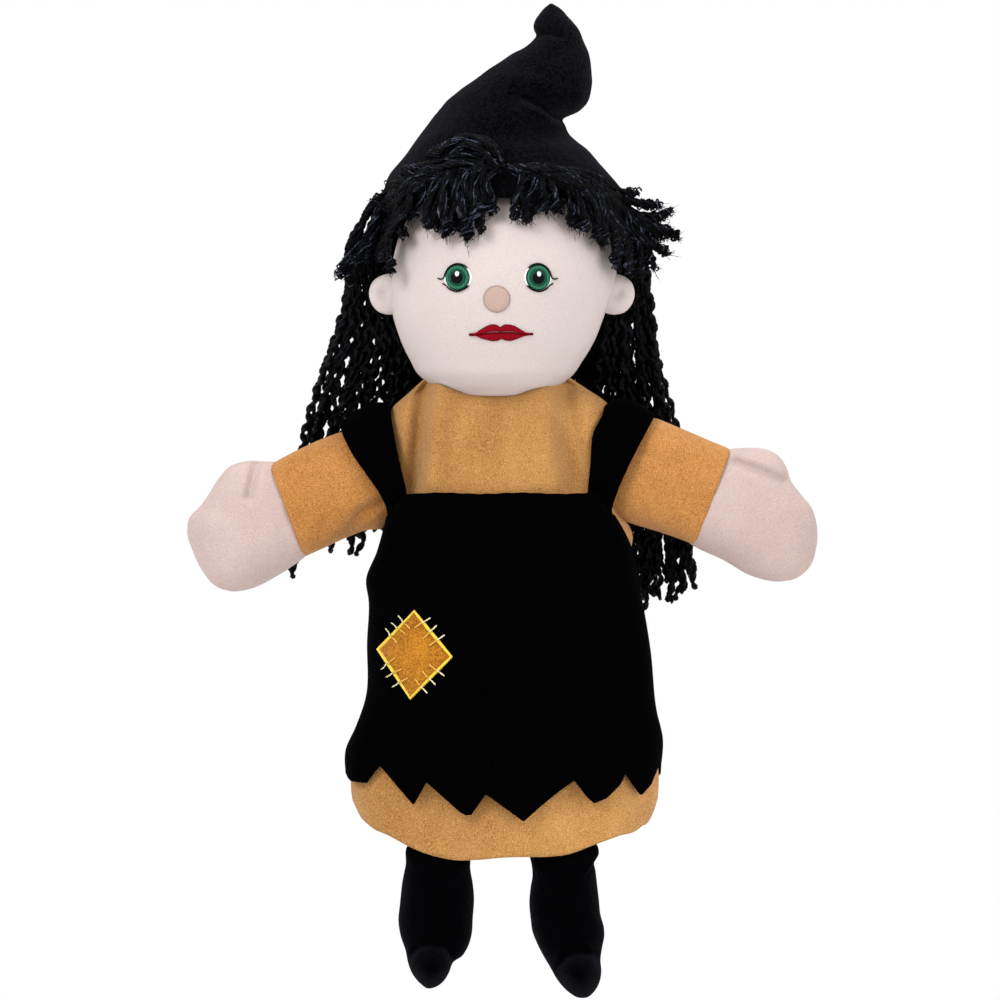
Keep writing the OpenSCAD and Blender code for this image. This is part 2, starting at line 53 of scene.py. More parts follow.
MM = 0.001
TAU = 2 * math.pi


# ---- small tools -------------------------------------------------------------------------------

def curve(*pairs):
    """Smooth function through (place, value) pairs, level beyond its ends."""
    xs = np.array([p[0] for p in pairs], float)
    ys = np.array([p[1] for p in pairs], float)
    slopes = np.gradient(ys, xs)

    def value(x):
        x = np.clip(np.asarray(x, float), xs[0], xs[-1])
        i = np.clip(np.searchsorted(xs, x) - 1, 0, len(xs) - 2)
        h = xs[i + 1] - xs[i]
        t = (x - xs[i]) / h
        return (
            ys[i] * (1 + 2 * t) * (1 - t) ** 2
            + ys[i + 1] * t * t * (3 - 2 * t)
            + h * slopes[i] * t * (1 - t) ** 2
            + h * slopes[i + 1] * t * t * (t - 1)
        )

    return value


def ramp(x, low, high):
    """0 below low, 1 above high, smooth between."""
    t = np.clip((np.asarray(x, float) - low) / (high - low), 0, 1)
    return t * t * (3 - 2 * t)


def bump_at(x, middle, width):
    return np.exp(-(((np.asarray(x, float) - middle) / width) ** 2))


def power(v, e):
    return np.sign(v) * np.abs(v) ** e


def wrinkle(points, size, seed):
    """Smooth noise, one value for each point, with features of about this size in mm."""
    shift = Vector((seed * 7.3, seed * 3.1, seed * 5.7))
    return np.array([noise.noise(Vector(p) / size + shift) for p in points])


def add_mesh(name, verts, faces, material, smooth=True):
    data = bpy.data.meshes.new(name)
    data.from_pydata((np.asarray(verts, float) * MM).tolist(), [], [tuple(map(int, f)) for f in faces])
    data.update()
    data.materials.append(material)
    data.polygons.foreach_set("use_smooth", [smooth] * len(data.polygons))
    piece = bpy.data.objects.new(name, data)
    bpy.context.scene.collection.objects.link(piece)
    return piece


def grid_faces(rows, cols, wrap=False, start=0):
    faces = []
    for r in range(rows - 1):
        for c in range(cols if wrap else cols - 1):
            d = (c + 1) % cols
            a = start + r * cols
            faces.append((a + c, a + d, a + cols + d, a + cols + c))
    return faces


def add_grid(name, points, material, wrap=False, caps=(False, False)):
    """Sheet through a rows x cols x 3 array; wrap joins the last column to the first."""
    rows, cols = points.shape[:2]
    verts = points.reshape(-1, 3)
    faces = grid_faces(rows, cols, wrap)
    extra = []
    for end, wanted in enumerate(caps):
        if not wanted:
            continue
        first = (rows - 1) * cols if end else 0
        extra.append(points[-1 if end else 0].mean(0))
        middle = len(verts) + len(extra) - 1
        for c in range(cols):
            pair = (first + c, first + (c + 1) % cols)
            faces.append((*pair, middle) if end else (*pair[::-1], middle))
    if extra:
        verts = np.vstack([verts, extra])
    return add_mesh(name, verts, faces, material)


def thicken(piece, thickness, offset=-1.0):
    """Gives a sheet its cloth thickness in mm."""
    modifier = piece.modifiers.new("thickness", "SOLIDIFY")
    modifier.thickness = thickness * MM
    modifier.offset = offset
    modifier.use_rim = True
    return piece


def finish_piece(piece, body, nodes=()):
    """Puts a finished piece on its body, in place of its CAD nodes."""
    if body:
        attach(piece, body)
    if nodes:
        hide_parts(*nodes)
    return piece


# ---- materials ---------------------------------------------------------------------------------

def new_material(name, **sockets):
    material = bpy.data.materials.new(name)
    material.use_nodes = True
    shader = material.node_tree.nodes["Principled BSDF"]
    for key, value in sockets.items():
        shader.inputs[key.replace("_", " ")].default_value = value
    return material, material.node_tree, shader


def noise_node(tree, scale, detail=2.0, stretch=(1, 1, 1), rough=0.5, distortion=0.0):
    coords = tree.nodes.new("ShaderNodeTexCoord")
    mapping = tree.nodes.new("ShaderNodeMapping")
    mapping.inputs["Scale"].default_value = stretch
    tree.links.new(coords.outputs["Object"], mapping.inputs["Vector"])
    texture = tree.nodes.new("ShaderNodeTexNoise")
    texture.inputs["Scale"].default_value = scale
    texture.inputs["Detail"].default_value = detail
    texture.inputs["Roughness"].default_value = rough
    texture.inputs["Distortion"].default_value = distortion
    tree.links.new(mapping.outputs["Vector"], texture.inputs["Vector"])
    return texture.outputs["Fac"]


def math_node(tree, kind, a, b):
    node = tree.nodes.new("ShaderNodeMath")
    node.operation = kind
    for socket, value in zip(node.inputs, (a, b)):
        if isinstance(value, (int, float)):
            socket.default_value = value
        else:
            tree.links.new(value, socket)
    return node.outputs[0]


def tint(tree, shader, factor, dark, light, low=0.35, high=0.65):
    """Base colour running from dark to light as factor runs from low to high."""
    node = tree.nodes.new("ShaderNodeValToRGB")
    node.color_ramp.elements[0].position = low
    node.color_ramp.elements[0].color = (*dark, 1)
    node.color_ramp.elements[1].position = high
    node.color_ramp.elements[1].color = (*light, 1)
    tree.links.new(factor, node.inputs["Fac"])
    tree.links.new(node.outputs["Color"], shader.inputs["Base Color"])


def bump(tree, shader, height, distance, strength=1.0, below=None):
    node = tree.nodes.new("ShaderNodeBump")
    node.inputs["Distance"].default_value = distance * MM
    node.inputs["Strength"].default_value = strength
    tree.links.new(height, node.inputs["Height"])
    if below is not None:
        tree.links.new(below, node.inputs["Normal"])
    tree.links.new(node.outputs["Normal"], shader.inputs["Normal"])
    return node.outputs["Normal"]


def plush(name, dark, light, pile=1100, nap=70, depth=0.5, sheen=0.5, glow=(1, 1, 1), rough=0.9, shine=0.12,
          span=0.15):
    """Short-pile cloth: fine tufts, brushed patches of nap and a soft sheen at grazing angles."""
    material, tree, shader = new_material(
        name, Roughness=rough, Specular_IOR_Level=shine, Sheen_Weight=sheen, Sheen_Roughness=0.45,
        Sheen_Tint=(*glow, 1),
    )
    tufts = noise_node(tree, pile, 3.0, rough=0.65)
    brushed = noise_node(tree, nap, 4.0, stretch=(1, 1, 0.55), rough=0.6, distortion=0.6)
    patches = noise_node(tree, nap * 0.3, 2.0)
    mix = math_node(tree, "ADD", math_node(tree, "MULTIPLY", tufts, 0.66),
                    math_node(tree, "MULTIPLY", brushed, 0.16))
    mix = math_node(tree, "ADD", mix, math_node(tree, "MULTIPLY", patches, 0.18))
    tint(tree, shader, mix, dark, light, 0.5 - span, 0.5 + span)
    soft = bump(tree, shader, brushed, 1.4, 0.5)
    bump(tree, shader, tufts, depth, 0.9, soft)
    return material


def thread(name, dark, light, pitch=0.42, turn=(0, 0, 0), gloss=0.45, shine=0.3):
    """Satin-stitched thread: fine parallel strands with a silky gloss."""
    material, tree, shader = new_material(
        name, Roughness=gloss, Specular_IOR_Level=shine, Sheen_Weight=shine * 0.3, Sheen_Roughness=0.3,
        Anisotropic=0.4,
    )
    coords = tree.nodes.new("ShaderNodeTexCoord")
    mapping = tree.nodes.new("ShaderNodeMapping")
    mapping.inputs["Rotation"].default_value = turn
    tree.links.new(coords.outputs["Object"], mapping.inputs["Vector"])
    wave = tree.nodes.new("ShaderNodeTexWave")
    wave.inputs["Scale"].default_value = TAU / 20 / (pitch * MM)
    wave.inputs["Distortion"].default_value = 1.2
    wave.inputs["Detail"].default_value = 1.0
    tree.links.new(mapping.outputs["Vector"], wave.inputs["Vector"])
    tint(tree, shader, wave.outputs["Fac"], dark, light, 0.1, 0.8)
    bump(tree, shader, wave.outputs["Fac"], 0.25, 0.8)
    return material


def woven(name, dark, light, pitch=0.5):
    """Plain weave: two crossed sets of yarns."""
    material, tree, shader = new_material(name, Roughness=0.85, Specular_IOR_Level=0.2, Sheen_Weight=0.2)
    waves = []
    for axis in ("X", "Z"):
        coords = tree.nodes.new("ShaderNodeTexCoord")
        wave = tree.nodes.new("ShaderNodeTexWave")
        wave.bands_direction = axis
        wave.inputs["Scale"].default_value = TAU / 20 / (pitch * MM)
        tree.links.new(coords.outputs["Object"], wave.inputs["Vector"])
        waves.append(wave.outputs["Fac"])
    weave = math_node(tree, "MULTIPLY", *waves)
    tint(tree, shader, weave, dark, light, 0.0, 0.7)
    bump(tree, shader, weave, 0.3)
    return material


def wool(name, dark, light, low, high):
    """Twisted yarn: stray fibres, and navy highlights painted into the base colour in sparse patches."""
    material, tree, shader = new_material(
        name, Roughness=0.4, Specular_IOR_Level=0.06)
    fibres = noise_node(tree, 2600, 2.0, stretch=(1, 1, 0.35))
    painted_glints = noise_node(tree, 330, 2.0)
    mix = math_node(tree, "ADD", math_node(tree, "MULTIPLY", fibres, 0.45),
                    math_node(tree, "MULTIPLY", painted_glints, 0.55))
    # Base colour: fibre grain, plus painted highlight patches at the light end of the ramp.
    tint(tree, shader, mix, dark, light, low, high)
    bump(tree, shader, fibres, 0.3)
    return material


TAN = plush("tan_plush", (0.2092, 0.08161, 0.01746), (0.4738, 0.2474, 0.07915), pile=2300, nap=55, depth=0.7,
            sheen=0.18, glow=(1, 0.84, 0.62), span=0.1)
SLEEVE_TAN = plush("tan_plush_sleeves", (0.2219, 0.07714, 0.01472), (0.5026, 0.2337, 0.06679), pile=2300,
                   nap=55,
                   depth=0.7, sheen=0.18, glow=(1, 0.84, 0.62), span=0.1)
VELOUR = plush("black_velour", (4.8e-05, 4e-05, 0.000102), (0.000402, 0.000335, 0.000606), pile=1300,
               sheen=0.003,
               glow=(0.6, 0.62, 0.8), rough=1.0, shine=0.008)
FLEECE = plush("black_fleece", (9e-05, 8.5e-05, 0.00015), (0.00306, 0.00289, 0.00375), pile=900, nap=90,
               depth=0.8,
               sheen=0.042, glow=(0.62, 0.62, 0.78), rough=1.0, shine=0.01, span=0.09)
BOOT = plush("boot_velour", (0.00004, 0.00004, 0.0001), (0.0004, 0.0004, 0.0007), pile=1300, sheen=0.03,
             glow=(0.6, 0.62, 0.8), rough=1.0, shine=0.01)
MUSTARD = plush("mustard_plush", (0.1791, 0.0552, 0.00252), (0.398, 0.1591, 0.01017), pile=1400, nap=160,
                depth=0.6,
                sheen=0.12, span=0.1)
SKIN = plush("skin_plush", (0.404, 0.342, 0.327), (0.462, 0.4015, 0.388), pile=1700, nap=45, depth=0.25,
             sheen=0.15, glow=(1, 0.95, 0.93))
HAND_SKIN = plush("skin_plush_hands", (0.3306, 0.2343, 0.2133), (0.4355, 0.3506, 0.3289), pile=2300, nap=45,
                  depth=0.4, sheen=0.15, glow=(1, 0.9, 0.88), span=0.12)
YELLOW = thread("yellow_thread", (0.6048, 0.3528, 0.0084), (0.84, 0.6552, 0.0756), turn=(0, 0.8, 0))
GOLD = thread("gold_thread", (0.62, 0.30, 0.035), (0.88, 0.55, 0.12), shine=0.1)
CREAM = thread("cream_thread", (0.75, 0.62, 0.32), (0.92, 0.86, 0.62), shine=0.1)
WHITE = thread("white_thread", (0.6048, 0.6216, 0.6384), (0.798, 0.8064, 0.8148), gloss=0.45)
GREEN = thread("green_thread", (0.0033, 0.0558, 0.0279), (0.02475, 0.1736, 0.093), pitch=0.6, shine=0.12)
GREEN_MID = thread("green_thread_mid", (0.0009, 0.021, 0.0112), (0.0048, 0.07, 0.0385), pitch=0.5, shine=0.1)
GREEN_DARK = thread("green_thread_dark", (0.00084, 0.0185, 0.0101), (0.00336, 0.0336, 0.0185), pitch=0.5,
                    shine=0.1)
BLACK = thread("black_thread", (0.00084, 0.00084, 0.00126), (0.00336, 0.00336, 0.0042), gloss=0.7, shine=0.06)
LIPS = thread("lip_thread", (0.1341, 0.000402, 0.004116), (0.2328, 0.000756, 0.00938), pitch=0.5,
              gloss=0.6, shine=0.04)
LIP_LINE = thread("lip_line_thread", (0.055, 0.0008, 0.004), (0.10, 0.0015, 0.008), pitch=0.5, gloss=0.8,
                  shine=0)
NOSE = plush("nose_felt", (0.3145, 0.2195, 0.1843), (0.3571, 0.2577, 0.2227), pile=1500, nap=200, depth=0.2,
             sheen=0.2)
NOSE_STITCH = thread("nose_thread", (0.2772, 0.1848, 0.1428), (0.462, 0.336, 0.2772))
YARN = wool("yarn", (0.00005, 0.00006, 0.00015), (0.0035, 0.0043, 0.008), 0.5, 0.68)
# Brighter copy of the yarn: painted highlights for the fringe's glint fibres.
YARN_LIT = wool("yarn_lit", (0.0022, 0.00276, 0.0048), (0.088, 0.1035, 0.156), 0.46, 0.66)
LINING = woven("lining_cloth", (0.462, 0.4368, 0.3948), (0.6972, 0.6804, 0.6384))
TAPE = woven("hair_tape", (0.00042, 0.00042, 0.00084), (0.00252, 0.00252, 0.00336))
WADDING = plush("wadding", (0.588, 0.5796, 0.5544), (0.7812, 0.7728, 0.756), pile=500, nap=120, depth=1.2,
                rough=1.0)


# ---- camera, floor and light -------------------------------------------------------------------

scene = bpy.context.scene
VIEW_HEIGHT = 0.3815
CAMERA_DISTANCE = 6.0
camera_data = bpy.data.cameras.new("camera")
camera_data.sensor_width = 36
camera_data.lens = 36 * CAMERA_DISTANCE / VIEW_HEIGHT
camera_data.clip_end = 50
camera = bpy.data.objects.new("camera", camera_data)
camera.location = (-0.0015, -CAMERA_DISTANCE - 0.02, 0.1366)
camera.rotation_euler = (math.pi / 2, 0, 0)
scene.collection.objects.link(camera)
scene.camera = camera
scene.view_settings.view_transform = "Standard"

FLOOR_Z = -0.085


def add_floor():
    """Pale round floor under the puppet; it ends before the camera would see it behind the feet."""
    turns = np.linspace(0, TAU, 96, endpoint=False)
    rings = np.array([0.05, 0.4, 0.9]) / MM
    points = np.stack([rings[:, None] * np.cos(turns), rings[:, None] * np.sin(turns),
                       np.full((3, 96), FLOOR_Z / MM)], -1)
    material, tree, shader = new_material("floor", Roughness=0.9, Specular_IOR_Level=0.1)
    tint(tree, shader, noise_node(tree, 3.0), (0.86, 0.86, 0.86), (0.92, 0.92, 0.92))
    add_grid("floor", points[::-1], material, True, (False, True))


def add_light(name, place, size, watts, aim=(0, 0, 0.14)):
    data = bpy.data.lights.new(name, "AREA")
    data.shape = "DISK"
    data.size = size
    data.energy = watts
    lamp = bpy.data.objects.new(name, data)
    lamp.location = place
    lamp.rotation_mode = "QUATERNION"
    lamp.rotation_quaternion = (Vector(aim) - Vector(place)).to_track_quat("-Z", "Y")
    scene.collection.objects.link(lamp)


add_floor()
add_light("key", (-1.3, -1.6, 1.5), 1.2, 48)
add_light("fill", (1.6, -1.4, 0.7), 1.6, 26)
add_light("top", (0.1, 0.2, 2.0), 1.4, 22)
world = bpy.data.worlds.new("world")
world.use_nodes = True
world.node_tree.nodes["Background"].inputs["Color"].default_value = (1, 1, 1, 1)
world.node_tree.nodes["Background"].inputs["Strength"].default_value = 1.0
scene.world = world


# ---- the body's shape --------------------------------------------------------------------------

FULLNESS = 2.5
DRESS_LEFT = curve((-2, -54), (16, -57), (28, -58.6), (42, -56.5), (60, -49.8), (83, -49.3), (98, -48.6),
                   (110, -48.5), (120, -46), (133, -43.3), (150, -42.5), (162, -44.5), (168, -44.6),
                   (172, -42.6), (178, -36), (183.5, -30), (187, -26))
DRESS_RIGHT = curve((-2, 55), (12, 57), (20, 58.6), (30, 59.3), (42, 58), (60, 54.6), (83, 52.6), (98, 50.5),
                    (110, 49.3), (118, 48.8), (123, 49.3), (127, 47.8), (131, 44.5), (138, 41.5), (150,
                                                                                                   40.5),
                                                                                                   (162, 41),
                    (168, 41.2), (174, 39.2), (179, 32), (184, 24.5), (187, 21))
DRESS_DEPTH = curve((-2, 27), (40, 27.5), (100, 26), (130, 23.6), (150, 22), (164, 20.6), (170, 18.6),
                    (176, 15.4), (180, 13.4), (186, 12))
TUNIC_LEFT = curve((14, -59.6), (31, -60.6), (41, -60.6), (50, -56.7), (60, -53.2), (83, -52.4), (98, -51.8),
                   (106, -52.8), (117, -48.6), (124, -46.6), (131, -44.9), (142, -43.6))
TUNIC_RIGHT = curve((14, 59.5), (34, 60.2), (45, 60.9), (56, 58.5), (79, 56.2), (102, 52.3), (119, 48.8),
                    (127.4, 45), (131, 42.6), (142, 41.2))


def section(v, left, right, depth, back, fullness=FULLNESS):
    """Point on the front or back of an oval section; v runs from -1 at the left side to 1 at the right."""
    y = depth * np.maximum(0, 1 - np.abs(v) ** fullness) ** (1 / fullness)
    return (left + right) / 2 + (right - left) / 2 * v, y if back else -y


def columns(count):
    """Places across a panel, closer together towards the side seams."""
    return power(np.sin(np.linspace(-math.pi / 2, math.pi / 2, count)), 0.9)


HEM = curve((-57.4, 22), (-55.6, 16.4), (-52.6, 12.6), (-45, 8.4), (-37.4, 4.2), (-28.9, 1.0), (-18.7, -0.8),
            (-11.9, -0.6), (-0.8, 0.3), (9.4, 0.5), (18.8, 0.7), (25.6, 1.6), (34.9, 5), (44.3, 8.4),
            (52.8, 11.8), (56.3, 16.6), (57.4, 22.5))


def hem_height(v):
    return HEM(np.asarray(v) * 57.4)


def neck_height(v):
    return 176.9 + 7.4 * np.minimum(1, np.abs(v)) ** 2 + 1.6 * bump_at(v, 0.55, 0.3)


def dress_folds(x, z, back):
    """Soft folds: flutes at the hem, gathers under the neck and pull lines from the armholes."""
    hem = ramp(z, 62, 5) * (1.7 * np.cos(x / 7.4 + (1.9 if back else 0.4)) + 0.9 * np.cos(x / 4.1 + 2))
    neck = ramp(z, 160, 178) * 0.5 * np.cos(x / 2.7 + 0.5) * ramp(np.abs(x), 2, 18)
    high = ramp(z, 128, 150)
    slant = (172 - z) * 0.1
    ridge = high * (4.6 * bump_at(x, -24.5 - slant, 4.5) + 3.4 * bump_at(x, 13 + slant, 7))
    dip = high * -6.6 * (bump_at(x, -31.5 - slant, 3.2) + 0.8 * bump_at(x, 24 + slant, 4.6))
    return hem + neck + ridge + dip


def dress_panel(name, back):
    cols, rows = 150, 110
    v = columns(cols)
    grid = np.zeros((rows, cols, 3))
    for r in range(rows):
        t = r / (rows - 1)
        z = hem_height(v) + t * (neck_height(v) - hem_height(v))
        x, y = section(v, DRESS_LEFT(z), DRESS_RIGHT(z), DRESS_DEPTH(z), back)
        inward = dress_folds(x, z, back) * ramp(1 - np.abs(v), 0, 0.12)
        y = y + np.where(y > 0, 1, -1) * inward if back else y - inward
        grid[r] = np.stack([x, y, z], 1)
    if back:
        grid = grid[:, ::-1]
    flat = grid.reshape(-1, 3)
    out = np.sign(flat[:, 1]) * (0.5 * wrinkle(flat, 14, 3) + 0.16 * wrinkle(flat, 4, 8))
    edge = np.abs(flat[:, 1]) > 2
    flat[:, 1] += out * edge
    piece = add_grid(name, flat.reshape(rows, cols, 3), TAN)
    thicken(piece, 1.5)
    return piece


def make_dress():
    for name, back in (("dress_front_cloth", False), ("dress_back_cloth", True)):
        piece = dress_panel(name, back)
        node = "dress_back" if back else "dress_front"
        finish_piece(piece, None, (node,))
        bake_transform(piece)


def make_hem():
    """Turned-up hem inside the skirt, with its lower edge folded level with the skirt's."""
    cols, rows = 180, 8
    angles = np.linspace(0, TAU, cols, endpoint=False)
    grid = np.zeros((rows, cols, 3))
    for r in range(rows):
        t = r / (rows - 1)
        v = np.cos(angles)
        z = hem_height(v) + 0.4 + 15 * t
        back = np.sin(angles) > 0
        inset = 2.6 - 0.9 * (1 - t) ** 3
        x, y = section(v, DRESS_LEFT(z) + inset, DRESS_RIGHT(z) - inset, DRESS_DEPTH(z) - inset, False)
        y = np.where(back, -y, y)
        grid[r] = np.stack([x, y, z], 1)
    piece = add_grid("hem_facing", grid, TAN, wrap=True)
    thicken(piece, 1.0)
    finish_piece(piece, "glove", ("dress_hem",))


# ---- tunic -------------------------------------------------------------------------------------

def resample_line(points, count):
    """Evenly spread points along a smooth line."""
    points = np.array(points, float)
    run = np.concatenate([[0], np.cumsum(np.linalg.norm(np.diff(points, axis=0), axis=1))])
    s = np.linspace(0, run[-1], count)
    return np.stack([curve(*zip(run, points[:, k]))(s) for k in range(points.shape[1])], 1)


FRONT_ZIGZAG = ((-60.5, 33), (-59.6, 30.6), (-58.3, 29.2), (-52.8, 28.6), (-51.5, 30.5), (-47.2, 35.6),
                (-34.9, 20.5), (-29.6, 29.2), (-17, 17.7), (-14.8, 16.5), (-12.8, 16.7), (-7, 24.6),
                (7.5, 14.2), (14.5, 20.3), (21.3, 25.8), (26.8, 29.8), (31.5, 23.7), (34.5, 21),
                (39.2, 22.9), (44.3, 28), (46.4, 32.4), (52.8, 24.1), (56.2, 28), (58.8, 34.8), (60.6, 38))
BACK_ZIGZAG = ((-60.5, 32), (-53, 24), (-44, 33), (-33, 19), (-22, 29), (-10, 15), (2, 28), (13, 15),
               (25, 29), (36, 19), (46, 33), (54, 23), (60.6, 33))
BIB_TOP = 139.2


def tunic_folds(x, z):
    flare = ramp(z, 70, 20) * (1.3 * np.cos(x / 9.5 + 0.9) + 0.6 * np.cos(x / 5.2))
    drag = ramp(z, 95, 125) * 1.1 * (bump_at(np.abs(x), 34 + (z - 110) * 0.1, 5))
    return flare + drag


def tunic_panel(name, back):
    cols, rows = 260, 80
    v = columns(cols)
    zigzag = BACK_ZIGZAG if back else FRONT_ZIGZAG
    xs, zs = np.array(zigzag).T
    low_x = (TUNIC_LEFT(25) + TUNIC_RIGHT(25)) / 2 + (TUNIC_RIGHT(25) - TUNIC_LEFT(25)) / 2 * v
    low = np.interp(low_x, xs, zs)
    top = BIB_TOP - 8.5 * ramp(np.abs(v), 0.84, 1.0) + 0.25 * np.sin(v * 9) + 0.08 * np.sin(v * 40)
    grid = np.zeros((rows, cols, 3))
    for r in range(rows):
        t = r / (rows - 1)
        z = low + t * (top - low)
        square = FULLNESS + 1.4 * ramp(z, 105, 124)
        x, y = section(v, TUNIC_LEFT(z), TUNIC_RIGHT(z), DRESS_DEPTH(z) + 3.1, back, square)
        out = tunic_folds(x, z) * ramp(1 - np.abs(v), 0, 0.1)
        out = out + 1.7 * ramp(z, 60, 22)
        y = y + out if back else y - out
        grid[r] = np.stack([x, y, z], 1)
    if back:
        grid = grid[:, ::-1]
    flat = grid.reshape(-1, 3)
    flat[:, 1] += np.sign(flat[:, 1]) * (0.55 * wrinkle(flat, 16, 5) + 0.3) * (np.abs(flat[:, 1]) > 2)
    piece = add_grid(name, flat.reshape(rows, cols, 3), VELOUR)
    thicken(piece, 1.4)
    return piece


def make_tunic():
    for name, node, back in (("tunic_front_cloth", "tunic_front", False),
                             ("tunic_back_cloth", "tunic_back", True)):
        piece = tunic_panel(name, back)
        finish_piece(piece, "glove", (node,))


STRAP_INNER = {"right": ((-36.6, 126), (-37.2, 139), (-39.3, 149.2), (-42.2, 162.9), (-43.1, 169), (-43.2,
                                                                                                    172.2)),
               "left": ((31.6, 126), (32.0, 139), (33.0, 151), (34.3, 162.9), (37.4, 169), (38.6, 172.6))}
STRAP_OUTER = {"right": ((-45.6, 122), (-44.4, 131), (-47.3, 138.3), (-53, 146.9), (-58.8, 156), (-63.0,
                                                                                                  165.2)),
               "left": ((46.4, 122), (41.2, 131.5), (43.5, 140), (48.1, 150.3), (53.2, 160.6), (57.8, 168.6))}


def make_straps():
    """Straps over the shoulders; each runs from under the bib over the top and down behind."""
    rows, cols = 70, 20
    for side in ("left", "right"):
        inner, outer = resample_line(STRAP_INNER[side], 40), resample_line(STRAP_OUTER[side], 40)
        grid = np.zeros((rows, cols, 3))
        for r, t in enumerate(np.linspace(0, 1, rows)):
            turn = math.pi * t
            climb = 39 * math.sin(turn) ** 0.72
            low = int(climb)
            mix = climb - low
            high = min(39, low + 1)
            a = inner[low] * (1 - mix) + inner[high] * mix
            b = outer[low] * (1 - mix) + outer[high] * mix
            w = np.linspace(0, 1, cols)
            line = a + (b - a) * w[:, None]
            tuck = ramp(line[:, 1], 134, 146)
            deep = (15.4 + 3.4 * tuck) * abs(math.cos(turn)) ** 0.5
            swell = 1.3 * np.sin(math.pi * w) + 0.5 * np.cos(w * 7 + t * 11)
            y = -np.sign(math.cos(turn)) * (deep + swell * abs(math.cos(turn)) ** 0.5 * tuck)
            rise = (swell + 3.2 * np.sin(math.pi * w)) * math.sin(turn) ** 5
            grid[r] = np.stack([line[:, 0], y, line[:, 1] + rise], 1)
        flat = grid.reshape(-1, 3)
        flat += (wrinkle(flat, 9, 11) * 0.8)[:, None] * np.array([0.2, 0.5, 0.6])
        grid = flat.reshape(grid.shape)
        if side == "left":
            grid = grid[:, ::-1]
        piece = thicken(add_grid(f"strap_{side}_cloth", grid[:, ::-1], VELOUR), 1.6)
        finish_piece(piece, "glove", (f"strap_{side}",))


# ---- patch -------------------------------------------------------------------------------------

STITCH_SHARES = ((0.25, 0.445, 0.63), (0.335, 0.525, 0.716), (0.32, 0.51, 0.69), (0.375, 0.56, 0.72))
PATCH_CORNERS = ((-34.0, 94.4), (-19.7, 76.9), (-35.5, 60.8), (-47.8, 79.7))


def tunic_front_y(x, z):
    """How far forward the tunic's front stands at a place."""
    left, right = TUNIC_LEFT(z), TUNIC_RIGHT(z)
    v = np.clip((x - (left + right) / 2) / ((right - left) / 2), -1, 1)
    y = -(DRESS_DEPTH(z) + 3.1) * np.maximum(0, 1 - np.abs(v) ** FULLNESS) ** (1 / FULLNESS)
    return y - tunic_folds(x, z) * ramp(1 - np.abs(v), 0, 0.1) - 1.7 * ramp(z, 60, 22) - 0.75


def on_tunic(x, z, lift):
    """Places on the tunic's front, raised off it."""
    x, z = np.asarray(x, float), np.asarray(z, float)
    h = 0.5
    dx = (tunic_front_y(x + h, z) - tunic_front_y(x - h, z)) / (2 * h)
    normal = np.stack([dx, -np.ones_like(dx), np.zeros_like(dx)], -1)
    normal /= np.linalg.norm(normal, axis=-1, keepdims=True)
    return np.stack([x, tunic_front_y(x, z), z], -1) + normal * np.asarray(lift, float)[..., None]


def make_patch():
    corners = np.array(PATCH_CORNERS)
    count = 40
    s = np.linspace(0, 1, count)
    a, b = np.meshgrid(s, s)
    flat = (corners[0] * ((1 - a) * (1 - b))[..., None] + corners[1] * (a * (1 - b))[..., None]
            + corners[2] * (a * b)[..., None] + corners[3] * ((1 - a) * b)[..., None])
    x, z = flat[..., 0], flat[..., 1]
    rise = 0.5 + 0.5 * np.minimum(1, 8 * np.minimum(np.minimum(a, 1 - a), np.minimum(b, 1 - b)))
    grid = on_tunic(x, z, rise)[:, ::-1]
    piece = add_grid("patch_cloth", grid, MUSTARD)
    thicken(piece, 0.9)
    finish_piece(piece, "glove", ("patch",))
    make_patch_border(corners)
    make_patch_stitches(corners)


def make_patch_border(corners):
    """Raised satin-stitch band around the patch, one ripple for each thread."""
    along, across = 4 * 110, 8
    middle = corners.mean(0)
    verts = np.zeros((along, across, 3))
    for i in range(along):
        side, f = divmod(i / (along / 4), 1)
        p = corners[int(side)] * (1 - f) + corners[(int(side) + 1) % 4] * f
        outward = (p - middle) / np.linalg.norm(p - middle)
        for j in range(across):
            g = math.pi * j / (across - 1)
            place = p + outward * (0.62 * math.cos(g) - 0.3)
            rib = 0.10 * math.cos(TAU * i / 4)
            verts[i, j] = on_tunic(place[0], place[1], 0.3 + (1.05 + rib) * math.sin(g))
    faces = []
    for i in range(along):
        n = (i + 1) % along
        for j in range(across - 1):
            faces.append((i * across + j, n * across + j, n * across + j + 1, i * across + j + 1))
    piece = add_mesh("patch_border_thread", verts.reshape(-1, 3), faces, YELLOW)
    finish_piece(piece, "glove", ("patch_border",))


def make_patch_stitches(corners):
    """Three whip stitches over each side: yellow on the patch, paler where they cross the black."""
    paths = {"in": [], "out": []}
    middle = corners.mean(0)
    for side in range(4):
        a, b = corners[side], corners[(side + 1) % 4]
        run = (b - a) / np.linalg.norm(b - a)
        outward = np.array([run[1], -run[0]])
        outward = outward if np.dot(outward, (a + b) / 2 - middle) > 0 else -outward
        for k in range(3):
            mid = a + (b - a) * STITCH_SHARES[side][k]
            lean = outward + run * (0.1, -0.12, 0.05)[(k + side) % 3]
            for name, low, high in (("in", -4.0, -0.3), ("out", -0.4, 3.2)):
                steps = np.linspace(low, high, 10)
                places = mid + lean * steps[:, None]
                lift = 0.75 + 1.1 * np.exp(-((steps + 0.3) / 1.1) ** 2) + 0.6 * (steps < -0.8)
                paths[name].append(on_tunic(places[:, 0], places[:, 1], lift))
    for name, material in (("in", GOLD), ("out", CREAM)):
        radius = 0.36 if name == "out" else 0.4
        piece = add_strands(f"patch_stitches_{name}", paths[name], material, radius, 0.85, 1.4, 8, 3)
        finish_piece(piece, "glove", ("patch_stitches",))


# ---- yarn --------------------------------------------------------------------------------------

